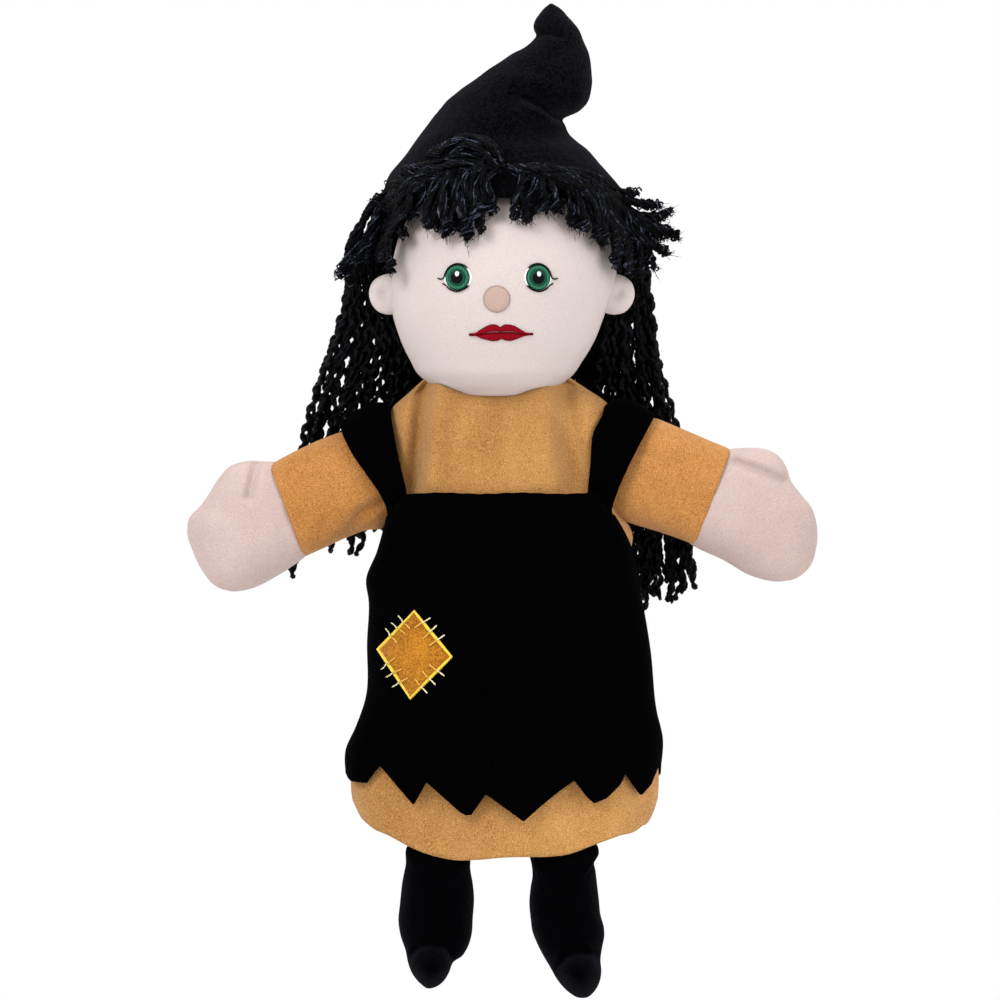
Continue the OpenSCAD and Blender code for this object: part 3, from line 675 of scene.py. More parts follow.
def strand_mesh(path, radius, flatness, period, sides, phase, ends=(0.75, 0.5)):
    """Verts and faces of a two-ply strand: an oval section that turns as it runs along the path."""
    path = np.asarray(path, float)
    steps = np.linalg.norm(np.diff(path, axis=0), axis=1)
    run = np.concatenate([[0], np.cumsum(steps)])
    tangents = np.gradient(path, axis=0)
    tangents /= np.linalg.norm(tangents, axis=1, keepdims=True)
    normal = np.cross(tangents[0], (0.31, 0.92, 0.21))
    rings = []
    n = len(path)
    taper = np.ones(n)
    taper[0], taper[-1] = ends
    around = TAU * np.arange(sides) / sides
    waist = 0.62 + 0.38 * np.cos(around) ** 2
    for i in range(n):
        t = tangents[i]
        normal = normal - t * normal.dot(t)
        normal /= np.linalg.norm(normal)
        other = np.cross(t, normal)
        turn = phase + TAU * run[i] / period
        a = radius * taper[i] * np.cos(around)
        b = radius * taper[i] * flatness * waist * np.sin(around)
        u = a * math.cos(turn) - b * math.sin(turn)
        w = a * math.sin(turn) + b * math.cos(turn)
        rings.append(path[i] + u[:, None] * normal + w[:, None] * other)
    verts = np.concatenate(rings + [path[:1], path[-1:]])
    faces = grid_faces(n, sides, wrap=True)
    for c in range(sides):
        d = (c + 1) % sides
        faces.append((d, c, n * sides))
        faces.append(((n - 1) * sides + c, (n - 1) * sides + d, n * sides + 1))
    return verts, faces


def add_strands(name, paths, material, radius, flatness, period, sides, seed):
    rng = np.random.default_rng(seed)
    all_verts, all_faces, start = [], [], 0
    for path in paths:
        size = radius * rng.uniform(0.92, 1.08)
        verts, faces = strand_mesh(path, size, flatness, period, sides, rng.uniform(0, TAU))
        all_verts.append(verts)
        all_faces += [tuple(i + start for i in f) for f in faces]
        start += len(verts)
    return add_mesh(name, np.concatenate(all_verts), all_faces, material)


def resample(points, spacing):
    """Even points along a smooth curve through the given ones."""
    points = np.asarray(points, float)
    lengths = np.concatenate([[0], np.cumsum(np.linalg.norm(np.diff(points, axis=0), axis=1))])
    count = max(4, int(lengths[-1] / spacing) + 1)
    s = np.linspace(0, lengths[-1], count)
    return np.stack([curve(*zip(lengths, points[:, k]))(s) for k in range(3)], 1)


# ---- head --------------------------------------------------------------------------------------

HEAD_R = curve((175.2, 4), (175.9, 12), (178.4, 20.5), (183.2, 28.2), (190, 33), (197, 36.8), (207, 40.6),
               (215, 42.7), (225, 43.3), (235, 41.4), (245, 37), (252, 31.5), (258, 22), (261.5, 12), (263,
                                                                                                       4))
HEAD_X = curve((176, -3), (185, -3), (197, -2.4), (207, -2.1), (225, 0.3), (245, 0.3))


def head_grid(start, end, cols, rows=90, less=0.0):
    turns = np.linspace(start, end, cols)
    t = np.linspace(0, 1, rows)
    zs = 175.2 + 87.8 * (1 - np.cos(math.pi * t)) / 2
    z = np.repeat(zs[:, None], cols, 1)
    r = HEAD_R(z) - less
    seam = np.minimum(np.abs(turns - start), np.abs(turns - end))
    r = r - 0.9 * bump_at(seam * 43, 0, 1.6)
    x = HEAD_X(z) + r * np.cos(turns)
    y = r * np.sin(turns)
    grid = np.stack([x, y, z], -1)
    flat = grid.reshape(-1, 3)
    push = 0.45 * wrinkle(flat, 22, 21) + 0.14 * wrinkle(flat, 7, 22)
    push *= 1 - 0.9 * ramp(-flat[:, 1], 15, 30) * ramp(flat[:, 2], 184, 194)
    flat[:, :2] *= (1 + push / 43)[:, None]
    return flat.reshape(grid.shape)


def face_y(x, z):
    reach = HEAD_R(z) ** 2 - (x - HEAD_X(z)) ** 2
    return -np.sqrt(np.maximum(reach, 1))


def on_face(x, z, lift):
    """Places on the face, raised off it along its slope."""
    x, z = np.broadcast_arrays(np.asarray(x, float), np.asarray(z, float))
    h = 0.4
    dx = (face_y(x + h, z) - face_y(x - h, z)) / (2 * h)
    dz = (face_y(x, z + h) - face_y(x, z - h)) / (2 * h)
    normal = np.stack([dx, -np.ones_like(dx), dz], -1)
    normal /= np.linalg.norm(normal, axis=-1, keepdims=True)
    return np.stack([x, face_y(x, z), z], -1) + normal * np.asarray(lift, float)[..., None]


def make_head():
    for name, node, start in (("face_cloth", "face_panel", -math.pi), ("head_back_cloth", "head_back", 0.0)):
        grid = head_grid(start, start + math.pi, 110)
        piece = thicken(add_grid(name, grid, SKIN), 1.3)
        finish_piece(piece, "head", (node,))
    stuffing = add_grid("head_wadding", head_grid(0, TAU, 97, 50, 2.2)[:, :-1], WADDING, True, (True, True))
    finish_piece(stuffing, "head", ("head_stuffing",))


def pillow(outline, centre, depth, rings=26, count=150, crown=2.4, lift=0.5):
    """Closed cushion whose edge follows an outline of (x, z) points; returns verts and faces."""
    outline = np.array(outline, float)
    centre = np.array(centre, float)
    closed = np.vstack([outline[-2:], outline, outline[:3]])
    lengths = np.concatenate([[0], np.cumsum(np.linalg.norm(np.diff(closed, axis=0), axis=1))])
    first, last = lengths[2], lengths[2 + len(outline)]
    s = np.linspace(first, last, count, endpoint=False)
    edge = np.stack([curve(*zip(lengths, closed[:, k]))(s) for k in range(2)], 1)
    p = np.sin(np.linspace(0, math.pi / 2, rings))
    verts, faces = [], []
    for side in (-1, 1):
        for k in range(1, rings if side < 0 else rings - 1):
            place = centre + (edge - centre) * p[k]
            y = side * depth * (1 - p[k] ** crown) ** lift
            verts.append(np.stack([place[:, 0], np.full(count, y), place[:, 1]], 1))
    front, back = rings - 1, rings - 2
    faces += grid_faces(front, count, wrap=True)
    faces = [f[::-1] for f in faces]
    faces += grid_faces(back, count, wrap=True, start=front * count)
    for c in range(count):
        d = (c + 1) % count
        rim, last_back = (front - 1) * count, (front + back - 1) * count
        faces.append((rim + d, rim + c, last_back + c, last_back + d)[::-1])
    poles = np.array([[centre[0], -depth, centre[1]], [centre[0], depth, centre[1]]])
    verts = np.concatenate(verts + [poles])
    tip = (front + back) * count
    for c in range(count):
        d = (c + 1) % count
        faces.append((c, d, tip))
        faces.append((front * count + d, front * count + c, tip + 1))
    return verts, faces


def fixed_normals(piece):
    """Turns every face outwards."""
    work = bmesh.new()
    work.from_mesh(piece.data)
    bmesh.ops.recalc_face_normals(work, faces=work.faces)
    work.to_mesh(piece.data)
    work.free()
    return piece


def make_ears():
    for side, sign in (("left", 1), ("right", -1)):
        x0 = sign * 43.0 - 0.8
        outline = [(x0 + sign * dx, 215.5 + dz) for dx, dz in
                   ((-5, -6.5), (0, -8), (4, -7), (7, -3.5), (7.8, 0.5), (6.4, 4.6), (3, 7), (-1, 7.6),
                    (-5, 6))]
        verts, faces = pillow(outline, (x0, 215.5), 3.2, 16, 60)
        cup = 1.3 * bump_at(np.hypot(verts[:, 0] - x0 - sign * 1.5, verts[:, 2] - 215.8), 0, 2.6)
        verts[:, 1] += np.where(verts[:, 1] < 0, cup, 0) - 4.5
        piece = fixed_normals(add_mesh(f"ear_{side}_pad", verts, faces, SKIN))
        finish_piece(piece, "head", (f"ear_{side}",))


# ---- face embroidery ---------------------------------------------------------------------------

def face_patch(name, centre, radius, height, base, material, nodes, rings=14, count=90, crown=2.0):
    """Raised stitched patch; radius is one number for a disc or a function of the angle."""
    a = np.linspace(0, TAU, count, endpoint=False)
    edge = np.full(count, float(radius)) if np.isscalar(radius) else radius(a)
    p = np.sin(np.linspace(0, math.pi / 2, rings))[1:]
    x = centre[0] + p[:, None] * edge * np.cos(a)
    z = centre[1] + p[:, None] * edge * np.sin(a)
    lift = base + height * (1 - p ** crown) ** 0.6
    lift[-1] = -0.4
    grid = on_face(x, z, np.repeat(lift[:, None], count, 1))
    verts = np.vstack([grid.reshape(-1, 3), on_face(centre[0], centre[1], base + height)[None]])
    faces = grid_faces(len(p), count, wrap=True)
    faces += [((c + 1) % count, c, len(verts) - 1) for c in range(count)]
    piece = fixed_normals(add_mesh(name, verts, faces, material))
    return finish_piece(piece, "head", nodes)


def face_ring(name, centre, inner, outer, height, material, nodes, count=120, base=0.0):
    """Raised stitched band between two outlines given as functions of the angle."""
    a = np.linspace(0, TAU, count, endpoint=False)
    across = np.linspace(0, 1, 9)
    r = inner(a)[None] + (outer(a) - inner(a))[None] * across[:, None]
    lift = base + height * np.sin(math.pi * across) ** 0.6
    lift[0] = lift[-1] = -0.4
    grid = on_face(centre[0] + r * np.cos(a), centre[1] + r * np.sin(a), np.repeat(lift[:, None], count, 1))
    piece = fixed_normals(add_grid(name, grid, material, wrap=True))
    return finish_piece(piece, "head", nodes)


def face_strands(name, lines, radius, material, nodes, seed, lift=0.35, spacing=0.3):
    paths = []
    for line in lines:
        places = resample([(x, 0, z) for x, z in line], spacing)
        paths.append(on_face(places[:, 0], places[:, 2], np.full(len(places), lift)))
    piece = add_strands(name, paths, material, radius, 0.85, 1.6, 7, seed)
    return finish_piece(piece, "head", nodes)


EYES = {"right": (-17.5, 221.2), "left": (12.9, 221.2)}
UPPER_LID = ((7.5, -0.2), (6.4, -0.6), (5.4, -0.2), (4.6, 1.6), (3.3, 3.7), (0.2, 5.2), (-2.9, 4.3), (-4.6,
                                                                                                      2.5))
LOWER_LID = ((5.8, -2.2), (4.5, -2.9), (3.0, -4.3), (0.5, -5.2), (-2.6, -4.3), (-4.3, -3.0))


def make_eyes():
    for side, (x, z) in EYES.items():
        out = -1 if side == "right" else 1
        face_patch(f"eye_white_{side}", (x, z), lambda a: 5.0 + 0.28 * np.cos(2 * a), 0.25, 0.2, WHITE,
                   ("eye_whites",))
        face_patch(f"iris_rim_{side}", (x, z), lambda a: 4.78 - 0.16 * np.cos(2 * a), 0.3, 0.3, GREEN_DARK,
                   ("irises",))
        face_ring(f"iris_ring_{side}", (x, z), lambda a: 3.1 + 0 * a, lambda a: 4.4 - 0.12 * np.cos(2 * a),
                  0.3,
                  GREEN, ("irises",), base=0.62)
        face_ring(f"iris_core_{side}", (x, z), lambda a: 1.9 + 0 * a, lambda a: 3.35 + 0 * a, 0.3,
                  GREEN_MID, ("irises",), base=0.7)
        face_patch(f"pupil_{side}", (x - 0.1, z - 0.3), 2.3, 0.35, 0.85, BLACK, ("pupils",))
        face_patch(f"eye_highlight_{side}", (x + 0.1, z + 1.35), lambda a: 0.85 - 0.12 * np.cos(2 * a),
                   0.3, 1.2,
                   WHITE, ("eye_highlights",), 8, 30)
        upper = resample_line([(x + out * a, z + b) for a, b in UPPER_LID], 80)
        lower = resample_line([(x + out * a, z + b) for a, b in LOWER_LID], 60)
        face_strands(f"lids_{side}", [upper[13:-7], lower[11:]], 0.36, BLACK,
                     ("eye_outlines",),
                     4, 0.5)
        face_strands(f"lashes_{side}", [upper[:15], lower[:13]], 0.32, BLACK, ("lashes",), 5)


def make_nose():
    centre = (-2.7, 213.0)
    piece = face_patch("nose_pad", centre, 4.85, 1.3, 0.25, NOSE, ("nose",), 18, 100, 3.2)
    turns = np.linspace(0, TAU, 60)
    ring = [(centre[0] + 4.95 * math.cos(a), centre[1] + 4.95 * math.sin(a)) for a in turns]
    ticks = [[(centre[0] + r * math.cos(a), centre[1] + r * math.sin(a)) for r in (4.5, 4.85, 5.15)]
             for a in turns[::2]]
    face_strands("nose_stitches", [ring] + ticks, 0.14, NOSE_STITCH, ("nose_stitching",), 6,
                 0.3)


LIP_TOP = curve((-13.4, 200.0), (-10.5, 200.4), (-9.2, 201.2), (-8, 201.9), (-6.4, 202.8), (-4.8, 203.3),
                (-2.9, 203.2), (-1.3, 202.4), (0, 203.2), (1.5, 203.3), (3.7, 202.9), (5.3, 202.1),
                (6.9, 201.1), (8.4, 200.4), (11.3, 200.2))
LIP_MIDDLE = curve((-13.4, 199.5), (-9.5, 199.7), (-5, 200.5), (-1.1, 200.5), (3, 200.6), (7, 199.9), (11,
                                                                                                       199.8))
LIP_LOW = curve((-13.4, 199.0), (-10.2, 199.0), (-9.4, 198.5), (-7.7, 197.9), (-6.1, 197.5), (-3.6, 197.1),
                (-2, 197.4), (-0.9, 197.9), (0.2, 197.5), (2.1, 197.2), (4.7, 197.8), (6.6, 198.6),
                (8.1, 199.2), (11, 199.4))


def lip(name, low, high, first, last, height):
    """One lip: a padded satin-stitched band between two curves."""
    x = first + (last - first) * (1 - np.cos(np.linspace(0, math.pi, 90))) / 2
    across = np.linspace(0, 1, 12)
    z = low(x)[None] + (high(x) - low(x))[None] * across[:, None]
    lift = height * np.sin(math.pi * across) ** 0.55 + 0.1
    lift[0] = lift[-1] = -0.4
    ends = np.minimum(1, np.minimum(x - first, last - x) / 2.5)
    grid = on_face(np.repeat(x[None], 12, 0), z, lift[:, None] * np.maximum(ends, 0.05)[None])
    piece = add_grid(name, grid, LIPS)
    return finish_piece(piece, "head", ("lips",))


def make_lips():
    lip("upper_lip", LIP_MIDDLE, LIP_TOP, -13.3, 11.2, 0.9)
    lip("lower_lip", LIP_LOW, LIP_MIDDLE, -13.3, 11.2, 1.0)
    x = np.linspace(-13.1, 11.0, 70)
    edges = [list(zip(x[9:-9], edge(x[9:-9]))) for edge in (LIP_TOP, LIP_LOW)]
    corners = [list(zip(x[part], LIP_MIDDLE(x[part]))) for part in (slice(0, 14), slice(-11, None))]
    face_strands("lip_edge_thread", edges, 0.15, LIP_LINE, ("lip_line",), 8, 0.1)
    face_strands("lip_line_thread", [list(zip(x, LIP_MIDDLE(x)))], 0.18, LIP_LINE,
                 ("lip_line",), 8, 0.85)
    face_strands("lip_corner_thread", corners, 0.55, LIP_LINE, ("lip_line",), 9, 0.3)


# ---- hat ---------------------------------------------------------------------------------------

HAT_LEFT = curve((252, -46.6), (260, -44.8), (267, -39.3), (277.7, -31.3), (284, -26.1), (290.3, -20.6),
                 (294.6, -14.8), (298.9, -8.9), (302.4, -4.2), (305.1, -0.4), (307.8, 3.5), (309.8, 7.4),
                 (312.1, 10.5), (313.9, 11.6), (318.7, 12.0), (321.5, 13.3), (325, 15.6), (326.6, 17.6))
HAT_RIGHT = curve((252, 47.6), (254.8, 45.8), (262, 40), (266.8, 35.8), (270.9, 32), (274, 28.1), (277.9,
                                                                                                   24.2),
                  (280.2, 23.4), (282.1, 23.6), (283.6, 25.4), (285.2, 28.2), (287.2, 30.2), (291.1, 32.4),
                  (295.4, 33.5), (302, 33.5), (307.4, 32.7), (312.1, 30.4), (317.6, 27.7), (321.5, 24.2),
                  (325.4, 20.7), (326.6, 18.6))
HAT_DEPTH = curve((252, 38.5), (262, 35), (272, 30), (280, 24.5), (289, 20.5), (300, 17), (308, 12),
                  (315, 8), (322, 5.2), (326.6, 1.2))


def crease(points, line, depth, width):
    """Inward push near a polyline drawn on the (x, z) plane."""
    place = points[:, (0, 2)]
    nearest = np.full(len(points), 1e9)
    for a, b in zip(line[:-1], line[1:]):
        a, b = np.array(a, float), np.array(b, float)
        t = np.clip(((place - a) @ (b - a)) / ((b - a) @ (b - a)), 0, 1)
        nearest = np.minimum(nearest, np.linalg.norm(place - a - t[:, None] * (b - a), axis=1))
    return depth * bump_at(nearest, 0, width)


def make_hat_hem():
    """Turned-in edge of the hat."""
    turns = np.linspace(0, TAU, 120, endpoint=False)
    zs = np.linspace(252.2, 259, 8)[:, None] + 0 * turns
    less = 1.7 + 0 * zs
    x = (HAT_LEFT(zs) + HAT_RIGHT(zs)) / 2 + ((HAT_RIGHT(zs) - HAT_LEFT(zs)) / 2 - less) * np.cos(turns)
    y = (HAT_DEPTH(zs) - less) * np.sin(turns)
    points = np.stack([x, y, zs], -1)
    piece = thicken(add_grid("hat_hem", points, FLEECE, True), 1.0)
    finish_piece(piece, "head", ("hat_rim",))
    piece = thicken(add_grid("hair_tape_band", points * (0.965, 0.965, 1) + (0, 0, 1.2), TAPE, True), 0.8)
    finish_piece(piece, "head", ("hair_tape",))


def make_hat():
    cols, rows = 120, 150
    turns = np.linspace(0, TAU, cols, endpoint=False)
    t = np.linspace(0, 1, rows)
    zs = 252 + 74.6 * (1 - (1 - t) ** 1.15)
    left, right, depth = HAT_LEFT(zs), HAT_RIGHT(zs), HAT_DEPTH(zs)
    x = ((left + right) / 2)[:, None] + ((right - left) / 2)[:, None] * np.cos(turns)
    y = depth[:, None] * np.sin(turns)
    z = np.repeat(zs[:, None], cols, 1)
    grid = np.stack([x, y, z], -1)
    flat = grid.reshape(-1, 3)
    middle = np.repeat(((left + right) / 2), cols)
    outward = np.stack([flat[:, 0] - middle, flat[:, 1], np.zeros(len(flat))], 1)
    outward /= np.maximum(np.linalg.norm(outward, axis=1, keepdims=True), 0.1)
    front = 0.35 + 0.65 * ramp(-outward[:, 1], -0.2, 0.7)
    push = -crease(flat, ((8, 290.5), (14, 288), (23.5, 283)), 4.4, 2.4) * front
    push += crease(flat, ((6, 297), (16, 293.5), (28, 291)), 1.8, 4.0) * front
    push -= crease(flat, ((11.5, 314.2), (16, 315), (22.2, 313.7)), 2.0, 1.3) * front
    push -= crease(flat, ((-2, 276), (12, 273), (26, 276)), 0.9, 3.0) * front
    push += 0.9 * wrinkle(flat, 17, 31) + 0.3 * wrinkle(flat, 6, 32)
    flat += outward * (push * ramp(326.6 - flat[:, 2], 0, 6))[:, None]
    grid = flat.reshape(grid.shape)
    piece = thicken(add_grid("hat_cloth", grid, FLEECE, True, (False, True)), 1.6)
    finish_piece(piece, "head", ("hat_shell",))
    make_hat_hem()
    inner = grid[:96].copy()
    axis = middle.reshape(rows, cols)[:96, :, None] * np.array([1, 0])
    inner[..., :2] = axis + (inner[..., :2] - axis) * 0.9
    inner[:, :, 2] = np.maximum(inner[:, :, 2], 262)
    stuffing = add_grid("hat_wadding", inner[16:], WADDING, True, (True, True))
    finish_piece(stuffing, "head", ("hat_stuffing",))


# ---- arms and hands ----------------------------------------------------------------------------


SLEEVE_TOP = {
    "right": ((-37, 167), (-50, 165.6), (-63.3, 162.3), (-79.3, 155.6), (-89.8, 150.0)),
    "left": ((35, 172), (48, 170.6), (57.8, 168.0), (66.4, 164.6), (77.8, 159.6), (87.0, 156.0)),
}
SLEEVE_LOW = {
    "right": ((-37, 129), (-43.6, 127.6), (-47.6, 125.4), (-51.5, 125.2), (-58.8, 122.8), (-69.6, 117.9),
              (-76.6, 114.8)),
    "left": ((34, 131), (41.5, 129.7), (51.5, 126.8), (61.8, 123.6), (73.3, 119.4)),
}
SLEEVE_DEPTH = curve((0, 8), (0.14, 10.4), (0.28, 12.8), (0.45, 14.4), (0.7, 13.6), (1, 12.7))
SLEEVE_FOLD = {"right": ((-58.6, 124), (-54, 131.1), (-46.5, 135.4)), "left": ((47, 160), (60, 150), (70,
                                                                                                      152))}


def sleeve_grid(side, start, end, rows, cols):
    """Tube between the sleeve's edges; start and end run from 0 at its root to 1 at its cuff."""
    t = np.linspace(start, end, rows)
    spots = np.linspace(0, 1, 120)
    edges = [resample_line(line[side], 120) for line in (SLEEVE_TOP, SLEEVE_LOW)]
    top, low = (np.stack([np.interp(t, spots, edge[:, k]) for k in (0, 1)], 1) for edge in edges)
    a = np.linspace(0, TAU, cols, endpoint=False)
    middle, half = (top + low) / 2, (top - low) / 2
    across = middle[:, None] + half[:, None] * power(np.cos(a), 0.85)[:, None]
    deep = SLEEVE_DEPTH(t)[:, None] * power(np.sin(a), 0.82)
    grid = np.stack([across[..., 0], -deep, across[..., 1]], -1)
    flat = grid.reshape(-1, 3)
    centre = np.stack([middle[:, 0], np.zeros(rows), middle[:, 1]], 1)
    out = (grid - centre[:, None]).reshape(-1, 3)
    out /= np.maximum(np.linalg.norm(out, axis=1, keepdims=True), 0.1)
    ts = np.repeat(t, cols)
    facing = np.abs(np.tile(np.sin(a), rows)) ** 0.6
    push = facing * 1.2 * wrinkle(flat, 15, 41) + facing * 0.5 * wrinkle(flat, 6, 44)
    push -= facing * crease(flat, SLEEVE_FOLD[side], 2.6 if side == "right" else 1.0, 2.2)
    push -= 0.5 * ramp(ts, 0.975, 1.0)
    push -= 1.7 * (1 - ramp(ts, start, start + 0.09)) * (start > 0) + 1.7 * ramp(ts, end - 0.09,
                                                                                 end) * (end < 1)
    flat += out * push[:, None]
    return flat.reshape(grid.shape)


def make_sleeves():
    for side, sign in (("left", 1), ("right", -1)):
        root = sleeve_grid(side, 0, 0.5, 34, 96)
        root = root if sign > 0 else root[:, ::-1]
        piece = thicken(add_grid(f"sleeve_head_{side}", root, SLEEVE_TAN, True), 1.5)
        finish_piece(piece, None, (f"armhole_seam_{side}",))
        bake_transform(piece)
        outer = sleeve_grid(side, 0.35, 1.0, 48, 96)
        outer = outer if sign > 0 else outer[:, ::-1]
        piece = thicken(add_grid(f"sleeve_{side}_cloth", outer, SLEEVE_TAN, True), 1.5)
        finish_piece(piece, None, (f"sleeve_{side}",))
        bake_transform(piece)


HAND_OUTLINES = {
    "right": ((-72, 146), (-80, 150.5), (-90.5, 151.3), (-98, 151.6), (-104.8, 149.5), (-109.5, 144.5),
              (-112.9, 139), (-116.5, 134), (-120.6, 129.4), (-121.2, 124), (-118.9, 116.5), (-115.5, 109.5),
              (-110.3, 103.6), (-104, 101.6), (-97, 102.6), (-86.2, 107.9), (-76, 115), (-69.5, 121),
              (-67.5, 134)),
    "left": ((68, 147), (76, 153), (86.4, 156.0), (94, 156.6), (100.3, 156.0), (105.2, 153.4),
             (108.4, 148.4), (109.6, 144.6), (113.3, 139.2), (117.8, 133.6), (119.7, 127.5), (119.6, 118.5),
             (117.2, 111.2), (112.2, 106.8), (106, 105.4), (95.4, 107.3), (84.2, 113.5), (70, 121),
             (62, 134)),
}
HAND_CENTRES = {"right": (-94, 126), "left": (92, 130)}
THUMB_LINES = {"right": ((-94.5, 150), (-96, 145), (-97.5, 138)), "left": ((88.7, 151), (98.2, 147.6),
                                                                           (106.6, 144.2))}


def make_hands():
    for side, sign in (("left", 1), ("right", -1)):
        verts, faces = pillow(HAND_OUTLINES[side], HAND_CENTRES[side], 12.6, 34, 200, 2.5, 0.52)
        push = crease(verts, THUMB_LINES[side], 3.0, 1.9) - 0.55 * wrinkle(verts, 13, 51)
        inner = np.sign(verts[:, 1]) * push * ramp(np.abs(verts[:, 1]), 0, 4)
        verts[:, 1] -= inner
        piece = fixed_normals(add_mesh(f"hand_{side}_pad", verts, faces, HAND_SKIN))
        finish_piece(piece, f"{side}_arm", (f"hand_{side}", f"hand_padding_{side}"))


# ---- legs and boots ----------------------------------------------------------------------------

LEG_OUTLINES = {
    "right": ((-33.4, 7.4), (-37.0, 4.4), (-37.5, -2.5), (-38.7, -8.5), (-39.7, -17.3), (-40.3, -24.6),
              (-39.5, -29.8), (-37.5, -35.8), (-36.7, -39.8), (-34.7, -44.6), (-31.9, -47.9), (-29.2, -49.8),
              (-26.2, -49.3), (-23, -47), (-21, -43.8), (-19.4, -40), (-15.8, -37.4), (-13.8, -34.2),
              (-12.2, -28.6), (-11.9, -23.4), (-11.4, -15.3), (-11.8, -10.5), (-12.8, -4.5), (-13.2, 4),
              (-16, 7.4), (-24, 8.4)),
    "left": ((13, 7), (9.8, 3), (10.6, -2.9), (10.9, -6.5), (10.2, -11.3), (9.7, -16.9), (10.2, -23.4),
             (11, -28.6), (12.4, -32.2), (15, -37.4), (17.4, -41.4), (21.1, -47.5), (25.1, -51.5),
             (28.3, -53.3), (31.9, -53.2), (34.7, -50.7), (36.7, -46.7), (37.2, -43), (36.9, -39),
             (37.5, -34.6), (38.4, -29.4), (38.2, -26.6), (36.9, -21.8), (36.3, -16.1), (35.5, -9.3),
             (34.9, -4.5), (34.4, -2.1), (36.2, 1.5), (35.6, 5), (31, 7.6), (22, 8.2)),
}
TOES = {"right": (-28.0, -42.0), "left": (29.0, -45.0)}


def make_legs():
    for side, sign in (("left", 1), ("right", -1)):
        outline = LEG_OUTLINES[side]
        tx, tz = TOES[side]
        verts, faces = pillow(outline, (sign * 24.5, -17), 12.0, 34, 180, 2.6, 0.5)
        verts[:, 1] *= 1 - 0.8 * ramp(verts[:, 2], -12, 7)
        verts[:, 1] -= 11 + 9.5 * ramp(verts[:, 2], -14, 7)
        toe = ramp(-verts[:, 2], 26, 44)
        forward = bump_at(np.hypot(verts[:, 0] - tx, verts[:, 2] - tz), 0, 11)
        verts[:, 1] -= 13 * toe * forward * (verts[:, 1] < -11)
        cap = crease(verts, ((tx - 9, tz + 3), (tx - 5, tz + 8), (tx, tz + 9.5), (tx + 6, tz + 8), (tx + 9,
                                                                                                    tz + 2)),
                     2.4, 1.3)
        front = verts[:, 1] < -13
        verts[:, 1] += np.where(front, cap, 0)
        verts[:, 1] += np.where(front, -1, 1) * 0.6 * wrinkle(verts, 9, 61)
        piece = fixed_normals(add_mesh(f"leg_{side}_pad", verts, faces, BOOT))
        finish_piece(piece, None,
                     (f"leg_{side}", f"leg_stuffing_{side}", f"boot_{side}", f"boot_stuffing_{side}"))
        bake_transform(piece)


# ---- hair --------------------------------------------------------------------------------------

YARN_R = 1.36
CRIMP, CRIMP_PITCH = 0.6, 9.0
LOCK_OUTER = {"left": curve((93, 73.5), (108, 73.5), (140, 70.5), (166, 65), (190, 60), (213, 55.8), (235,
                                                                                                      52.5),
                             (252, 43)),
              "right": curve((93, -83), (108, -82.5), (130, -81.5), (156, -78.5), (185, -69.5), (201, -64),
                             (213, -61.5), (226, -59.5), (240, -52), (252, -42))}
LOCK_INNER = {"left": curve((93, 47), (98, 47), (125, 46), (160, 40), (185, 37), (213, 40), (252, 36)),
              "right": curve((93, -53), (112, -52), (125, -47), (160, -40), (185, -38), (213, -41), (252,
                                                                                                     -36))}

LOCK_END = {"left": curve((0, 92.5), (0.35, 95.5), (0.6, 98), (1, 104)),
            "right": curve((0, 116), (0.5, 114.5), (0.85, 112), (1, 107))}


def crimped(points, spacing, rng):
    """Strand path with the small regular waves of crimped yarn."""
    path = resample(points, spacing)
    turn = np.arange(len(path)) * spacing * TAU / CRIMP_PITCH + rng.uniform(0, TAU)
    ease = ramp(np.arange(len(path)), 8, 40)
    path[:, 0] += CRIMP * ease * np.cos(turn)
    path[:, 1] += CRIMP * ease * np.sin(turn)
    return path


def side_lock_paths(side, count, rng):
    """Long strands from beside the face down behind the sleeve."""
    paths = []
    for k in range(count):
        f = (k + 0.5) / count + rng.uniform(-0.03, 0.03)
        layer = k % 3
        low = LOCK_END[side](f) + rng.uniform(-3, 3) + 3 * layer + rng.choice((0, 0, 0, 6, 10))
        zs = np.linspace(252, low, 16)
        wave = rng.uniform(0.6, 1.6) * np.sin(zs / rng.uniform(9, 16) + rng.uniform(0, TAU))
        x = LOCK_INNER[side](zs) * (1 - f) + LOCK_OUTER[side](zs) * f + wave * ramp(252 - zs, 10, 50)
        y = curve((93, 32), (130, 28.5), (165, 25.5), (185, 17), (205, 7), (225, 2), (252, -4))(zs)
        y = y + (layer - 1) * 3.4 * ramp(252 - zs, 20, 60) + 12 * (1 - f) * ramp(zs, 190, 235)
        y = y + rng.uniform(-1, 1) * np.sin(zs / 12 + k)
        paths.append(crimped(np.stack([x, y, zs], 1), 0.95, rng))
    return paths


def back_lock_paths(count, rng):
    """Long strands over the back of the head, in two layers."""
    paths = []
    for k in range(count):
        f = (k + 0.5) / count * 2 - 1
        layer = k % 2
        low = rng.uniform(97, 112) + 12 * ramp(-f, 0.4, 0.7)
        zs = np.linspace(256, low, 16)
        turn = math.pi / 2 - f * 1.42
        r = HEAD_R(np.clip(zs, 200, 254)) + 2.4 + layer * 2
        free = ramp(205 - zs, 0, 30)
        sway = rng.uniform(-1, 1) * np.sin(zs / 13 + k) * (0.15 + 0.85 * free)
        x = HEAD_X(zs) + r * math.cos(turn) * (1 - free) + free * f * 40 + sway
        stand_off = 31.5 + layer * 2.4 - 2 * abs(f) + 0.15 * np.maximum(0, 150 - zs)
        y = r * math.sin(turn) * (1 - free) + free * stand_off
        y = np.maximum(y, 4)
        paths.append(resample(np.stack([x, y, zs], 1), 1.1))
    return paths


